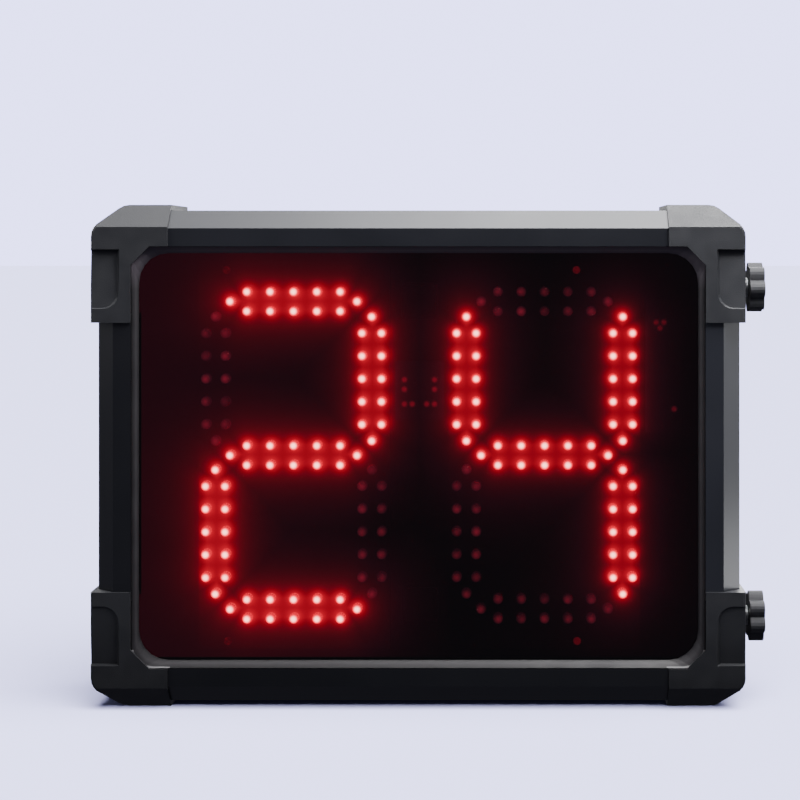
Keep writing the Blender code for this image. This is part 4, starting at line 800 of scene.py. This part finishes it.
vary(tree, shader, "Roughness", noise(tree, 200), (0.3, 0.3), (0.7, 0.5))
bump(tree, shader, tracks.outputs["Fac"], 0.2, 0.0001)
give(circuit, "control_board")

# Sounder: the horn that ends the count, moulded in the same grained black nylon as the caps and fixed to
# the back of the carrier plate.
give(moulded, "sounder")

# Processor legs and header plugs: plated legs bent down along two sides of the processor, and four cream
# nylon plugs pushed on to the board's headers, each a block with a raised face and rounded edges.
leg = block(0.5, 1.8, 1.2)
bevel(leg, 0.8, 2, lambda a, b: min(a.z, b.z) > 0.001 and min(a.y, b.y) > 0)
leg_pitch = 1.27
for label, rise in (("upper", 7.7), ("lower", -7.7)):
    copies(leg, "processor_legs_" + label,
           [(board_x + leg_pitch * k, board_back, board_z + rise) for k in range(-5, 6)],
           (-90, 0, 0), "housing", nickel)
bpy.data.objects.remove(leg)


def rounded(piece, width, segments):
    """Rounds every edge of a piece a little and smooths it."""
    edge = piece.modifiers.new("edges", "BEVEL")
    edge.width = width / 1000
    edge.segments = segments
    bpy.ops.object.modifier_apply(modifier="edges")
    bpy.ops.object.shade_smooth_by_angle(angle=radians(35))


nylon = grained("cream_nylon", (0.62, 0.60, 0.50), (0.68, 0.66, 0.56), (0.4, 0.5), 1500, 0.15)
plug = block(16, 6.6, 5)
for face in plug.data.polygons:
    face.select = face.normal.z > 0.9
bpy.ops.object.mode_set(mode="EDIT")
bpy.ops.mesh.select_mode(type="FACE")
bpy.ops.mesh.inset(thickness=0.0008)
bpy.ops.mesh.extrude_region_move(TRANSFORM_OT_translate={"value": (0, 0, 0.0012)})
bpy.ops.object.mode_set(mode="OBJECT")
rounded(plug, 0.3, 2)
copies(plug, "header_plugs", [(x, 1.8, 230.5) for x in (46.5, 63.5, 101, 121)], (-90, 0, 0),
       "housing", nylon)
bpy.data.objects.remove(plug)

# Wiring on the plate: stranded copper in soft PVC, from the supply to the control board, from there through
# the plate to the digit boards, and a pair to the sounder. Each lead is one smooth curve, round in section.


def wire_finish(name, colour):
    finish, tree, shader = new_finish(name, 0.4)
    lighter = tuple(min(1.0, value * 1.25 + 0.01) for value in colour)
    vary(tree, shader, "Base Color", noise(tree, 150), (0.3, colour), (0.7, lighter))
    vary(tree, shader, "Roughness", noise(tree, 90), (0.3, 0.32), (0.7, 0.5))
    bump(tree, shader, noise(tree, 900), 0.08, 0.0002)
    return finish


def lead(name, points, radius, body, finish, shift=(0, 0, 0)):
    """A round lead through points in millimetres, smoothed, with its ends cut square."""
    path = bpy.data.curves.new(name, "CURVE")
    path.dimensions = "3D"
    path.resolution_u = 8
    path.bevel_depth = radius / 1000
    path.bevel_resolution = 3
    path.use_fill_caps = True
    spline = path.splines.new("NURBS")
    spline.points.add(len(points) - 1)
    for point, place in zip(spline.points, points):
        point.co = (*[(value + aside) / 1000 for value, aside in zip(place, shift)], 1)
    spline.use_endpoint_u = True
    spline.order_u = 4
    made = bpy.data.objects.new(name, path)
    bpy.context.scene.collection.objects.link(made)
    only(made)
    bpy.ops.object.convert(target="MESH")
    bpy.ops.object.shade_smooth_by_angle(angle=radians(50))
    return settled(bpy.context.object, name, body, finish)


red_pvc = wire_finish("red_pvc", (0.35, 0.010, 0.008))
black_pvc = wire_finish("black_pvc", (0.010, 0.010, 0.011))
grey_pvc = wire_finish("grey_pvc", (0.20, 0.20, 0.21))
lead("supply_lead_red",
     [(-43, 7.6, 228), (-38, 10, 227.6), (-28, 11, 222), (-8, 9, 214), (16, 8, 212), (36, 10, 216),
      (43.5, 13, 224), (43.5, 12, 230.5), (43.5, 6.5, 230.5)], 0.9, "housing", red_pvc)
lead("supply_lead_black",
     [(-43, 7.6, 240.5), (-37, 10.5, 240), (-28, 12, 231), (-4, 10.5, 215), (20, 9.5, 213), (40, 11.5, 217),
      (47.5, 14.5, 225), (48.5, 12, 230.5), (48.5, 6.5, 230.5)], 0.9, "housing", black_pvc)
for side, finish in ((-0.9, red_pvc), (0.9, black_pvc)):
    lead("sounder_lead_" + ("red" if side < 0 else "black"),
         [(-46, -13, 128), (-36, -14, 134), (-18, -14.5, 150), (4, -14, 178), (30, -12, 200), (52, -4, 212),
          (61, 8, 220), (63.5 + side, 12, 230.5), (63.5 + side, 6.5, 230.5)], 0.7, "housing", finish,
         (side, 0, -side))
for k in range(4):
    spread = (k - 1.5) * 2.2
    lead("tens_lead_%d" % (k + 1),
         [(-105.5, -22, 140), (-105.5, -14, 146), (-106, -12, 166), (-92, -13, 186), (-50, -13.5, 194),
          (10, -13, 197), (60, -11, 204), (90, -2, 214), (99, 9, 222), (101, 12.5, 230.5),
          (101, 6.5, 230.5)], 0.8, "housing", grey_pvc, (spread, 0, spread * 0.5))
    lead("units_lead_%d" % (k + 1),
         [(90.3, -22, 146), (91, -14, 153), (94, -13, 172), (106, -11, 194), (117, -2, 210), (121, 9, 221),
          (121, 12.5, 230.5), (121, 6.5, 230.5)], 0.8, "housing", grey_pvc, (spread, 0, spread * 0.5))

# Rear door: steel sheet, folded and pressed, with a dark grey powder coat whose orange-peel skin scatters
# the light. The coat has dulled a little, here more and there less.
door_coat = grained("dark_powder_coat", (0.036, 0.037, 0.042), (0.042, 0.043, 0.049), (0.50, 0.58),
                    650, 0.9)
give(door_coat, "rear_door")

# Vent filters: two strips of black foam, cut from sheet with their edges rounded over, that keep out dust
# and light. They are stuck to the inside of the door over its rows of slots.
for label, height, middle_z in (("upper", 34, 323.5), ("lower", 30, 60.5)):
    bpy.ops.object.select_all(action="DESELECT")
    bpy.ops.mesh.primitive_cube_add(size=1, location=(clock_x / 1000, 0.0416, middle_z / 1000),
                                    scale=(0.330, 0.002, height / 1000))
    bpy.ops.object.transform_apply()
    rounded(bpy.context.object, 0.7, 3)
    settled(bpy.context.object, label + "_vent_filter", "rear_door", foam)

# Hinges: steel leaves and pins, zinc plated and clear passivated, which gives a bright skin with a fine
# crystal pattern. The knobs' washers have the same plating. Three screws hold each leaf.
zinc, tree, shader = new_finish("clear_zinc_plate", 0.3, 1.0)
shade = tree.nodes.new("ShaderNodeSeparateColor")
tree.links.new(pattern(tree, "Voronoi", 330)["Color"], shade.inputs["Color"])
vary(tree, shader, "Base Color", shade.outputs["Red"], (0.0, (0.55, 0.56, 0.59)), (1.0, (0.63, 0.64, 0.67)))
vary(tree, shader, "Roughness", shade.outputs["Green"], (0.0, 0.30), (1.0, 0.38))
bump(tree, shader, noise(tree, 600), 0.12, 0.0001)
give(zinc, *[label + piece for label in ("upper", "lower") for piece in
             ("_hinge_frame_leaf", "_hinge_door_leaf", "_hinge_pin", "_knob_washer")])
hinge_screw = screw_head(3.2, 1.2)
for label, middle in (("upper", 257.5), ("lower", 133.5)):
    for leaf, x, y, body in (("frame", -259.1, -1.5, "housing"), ("door", -261.4, 25.0, "rear_door")):
        copies(hinge_screw, label + "_" + leaf + "_leaf_screws",
               [(x, y, middle + rise) for rise in (-16, 0, 16)], (0, -90, 0), body, zinc)
bpy.data.objects.remove(hinge_screw)

# Mains inlet: moulded in black thermoplastic with three nickel-plated blades. It sits in a cut-out of the
# door and is held by two screws.
inlet, tree, shader = new_finish("inlet_with_blades", 0.35)
x, z = in_millimetres(tree, 142.4, 95.5)
on_blade = 0.0
for across, up in ((-7, -2), (0, 2), (7, -2)):
    here = sum_up(tree, "MULTIPLY", within(tree, x, across, 1.1), within(tree, z, up, 2.1))
    on_blade = sum_up(tree, "MAXIMUM", on_blade, here)
blade = sum_up(tree, "MULTIPLY", on_blade, sum_up(tree, "GREATER_THAN", coordinates(tree)["Y"], 0.0302))
vary(tree, shader, "Base Color", blade, (0.0, (0.013, 0.013, 0.015)), (1.0, (0.66, 0.64, 0.60)))
tree.links.new(blade, shader.inputs["Metallic"])
vary(tree, shader, "Roughness", noise(tree, 500), (0.3, 0.28), (0.7, 0.44))
bump(tree, shader, noise(tree, 1800), 0.12, 0.0002)
give(inlet, "mains_inlet")
inlet_screw = screw_head(3.0, 1.1)
copies(inlet_screw, "mains_inlet_screws", [(122.0, 47.55, 95.5), (162.8, 47.55, 95.5)], (-90, 0, 0),
       "rear_door", black_zinc)
bpy.data.objects.remove(inlet_screw)

# Power switch: a snap-in housing in smooth black plastic, and a glossy moulded rocker printed with plain
# white marks for on and off.
give(smooth_black, "switch_housing")
rocker, tree, shader = new_finish("rocker_with_marks", 0.25)
x, z = in_millimetres(tree, 97.4, 96.3)
bar = sum_up(tree, "MULTIPLY", within(tree, x, 0.0, 0.35), within(tree, z, 4.0, 1.5))
ring = within(tree, length_of(tree, x, sum_up(tree, "ADD", z, 4.0)), 1.3, 0.3)
printed = sum_up(tree, "MAXIMUM", bar, ring)
vary(tree, shader, "Base Color", printed, (0.0, (0.010, 0.010, 0.012)), (1.0, (0.75, 0.75, 0.73)))
vary(tree, shader, "Roughness", noise(tree, 300), (0.3, 0.16), (0.7, 0.3))
give(rocker, "power_rocker")

# Signal socket: a turned and plated shell through the door with a hexagonal nut inside that holds it. A
# moulded insulator in the shell carries five nickel-plated pins.
give(zinc, "signal_socket", "signal_socket_nut")
bpy.ops.object.select_all(action="DESELECT")
socket_x, socket_z = 57.4, 95.5
bpy.ops.mesh.primitive_cylinder_add(vertices=32, radius=0.0061, depth=0.0024,
                                    location=(socket_x / 1000, 0.0476, socket_z / 1000),
                                    rotation=(radians(-90), 0, 0))
insulator = bpy.context.object
bpy.ops.object.transform_apply()
rounded(insulator, 0.4, 2)
settled(insulator, "signal_socket_insulator", "rear_door", smooth_black)
bpy.ops.object.select_all(action="DESELECT")
bpy.ops.mesh.primitive_cylinder_add(vertices=12, radius=0.0006, depth=0.0036, location=(0, 0, 0.0018))
pin = bpy.context.object
bpy.ops.object.transform_apply()
bevel(pin, 0.4, 3, lambda a, b: min(a.z, b.z) > 0.003)
bpy.ops.object.shade_smooth_by_angle(angle=radians(40))
pin_circle = 3.5
copies(pin, "signal_socket_pins",
       [(socket_x + pin_circle * cos(radians(angle)), 48.8, socket_z + pin_circle * sin(radians(angle)))
        for angle in (0, 60, 120, 180, 270)], (-90, 0, 0), "rear_door", nickel)
bpy.data.objects.remove(pin)

# Star knobs: black phenolic, moulded to a satin gloss, with very fine scratches, each on a zinc-plated stud
# whose thread shows beside the collar. The inserts in the brackets are turned brass.
phenolic, tree, shader = new_finish("satin_phenolic", 0.38)
fine = noise(tree, 120, detail=6)
shader.inputs["Specular IOR Level"].default_value = 0.35
vary(tree, shader, "Base Color", fine, (0.3, (0.052, 0.052, 0.058)), (0.7, (0.068, 0.068, 0.075)))
vary(tree, shader, "Roughness", fine, (0.3, 0.58), (0.7, 0.68))
give(phenolic, "upper_star_knob", "lower_star_knob")
threaded, tree, shader = new_finish("threaded_zinc_steel", 0.3, 1.0)
thread_pitch = 1.25
along_stud, _ = in_millimetres(tree, 0.0, 0.0)
turns = sum_up(tree, "PINGPONG", along_stud, thread_pitch / 2)
vary(tree, shader, "Base Color", noise(tree, 300), (0.3, (0.52, 0.53, 0.56)), (0.7, (0.66, 0.67, 0.70)))
vary(tree, shader, "Roughness", noise(tree, 500), (0.3, 0.24), (0.7, 0.4))
bump(tree, shader, turns, 0.6, 0.0006)
give(threaded, "upper_knob_stud", "lower_knob_stud")
brass, tree, shader = new_finish("turned_brass", 0.3, 1.0)
vary(tree, shader, "Base Color", noise(tree, 700, (0.05, 1, 1)), (0.3, (0.60, 0.42, 0.16)),
     (0.7, (0.74, 0.54, 0.24)))
vary(tree, shader, "Roughness", noise(tree, 300), (0.3, 0.24), (0.7, 0.4))
give(brass, "upper_clamp_insert", "lower_clamp_insert")

# Mains wiring: spade tabs behind the inlet and the switch, a short brown link between them, and a black
# braided sleeve with three leads that runs along the door, round by the hinges and on to the supply.
tab = block(4.8, 0.8, 7)
bevel(tab, 1.2, 1, lambda a, b: min(a.z, b.z) > 0.006 and abs(a.y - b.y) > 0.0004)
copies(tab, "inlet_tabs", [(135.4, 22.3, 93.5), (142.4, 22.3, 97.5), (149.4, 22.3, 93.5)], (90, 0, 0),
       "rear_door", nickel)
copies(tab, "switch_tabs", [(97.4, 30.3, z) for z in (90.5, 100.5)], (90, 0, 0), "rear_door", nickel)
bpy.data.objects.remove(tab)
brown_pvc = wire_finish("brown_pvc", (0.09, 0.028, 0.010))
blue_pvc = wire_finish("blue_pvc", (0.010, 0.055, 0.30))
green_pvc = wire_finish("green_pvc", (0.03, 0.20, 0.03))
for name, finish, points in (
        ("inlet_to_switch_lead", brown_pvc,
         [(135.4, 17, 93.5), (135, 11, 93), (124, 8, 90), (108, 14, 88), (98, 20, 89.5), (97.4, 25, 90.5)]),
        ("switch_lead", brown_pvc,
         [(97.4, 25, 100.5), (97, 20, 101), (92, 20, 100), (82, 30, 92), (72, 37, 84), (62, 38.6, 80)]),
        ("inlet_lead_blue", blue_pvc,
         [(149.4, 17, 93.5), (149, 11, 92), (140, 9, 86), (118, 18, 81), (88, 32, 80), (62, 38.6, 80)]),
        ("inlet_lead_green", green_pvc,
         [(142.4, 17, 97.5), (142, 9, 97), (132, 7, 84), (112, 16, 78), (86, 31, 78), (62, 38.6, 79)])):
    lead(name, points, 1.1, "rear_door", finish)
for label, height, finish in (("green", 303, green_pvc), ("blue", 290.5, blue_pvc),
                              ("brown", 278, brown_pvc)):
    lead("supply_lead_" + label,
         [(-43, 7.6, height), (-37.5, 10.5, height), (-33, 12, height + 4), (-33, 11, 314), (-38, 6, 322),
          (-50, 2, 323)], 1.1, "housing", finish)
sleeve_finish, tree, shader = new_finish("braided_sleeve", 0.6)
weave = pattern(tree, "Checker", 900)["Fac"]
vary(tree, shader, "Base Color", weave, (0.0, (0.010, 0.010, 0.011)), (1.0, (0.028, 0.028, 0.031)))
vary(tree, shader, "Roughness", noise(tree, 120), (0.3, 0.5), (0.7, 0.7))
bump(tree, shader, weave, 0.4, 0.0003)
sleeve = lead("mains_sleeve",
              [(-44, 4, 322.5), (-60, 0, 323), (-110, -6, 323), (-160, -7, 323), (-196, -4, 320),
               (-212, 2, 308), (-218, 9, 294), (-220, 17, 280), (-220, 25, 266), (-219, 32, 252),
               (-216, 36.5, 240), (-210, 38.8, 226), (-202, 39.3, 205), (-188, 39.3, 170),
               (-165, 39.3, 125), (-140, 39.3, 92), (-110, 39.3, 81), (-60, 39.3, 79.5), (0, 39.3, 79.5),
               (50, 39.0, 80), (66, 38.2, 80)], 3.0, None, sleeve_finish)
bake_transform(sleeve)
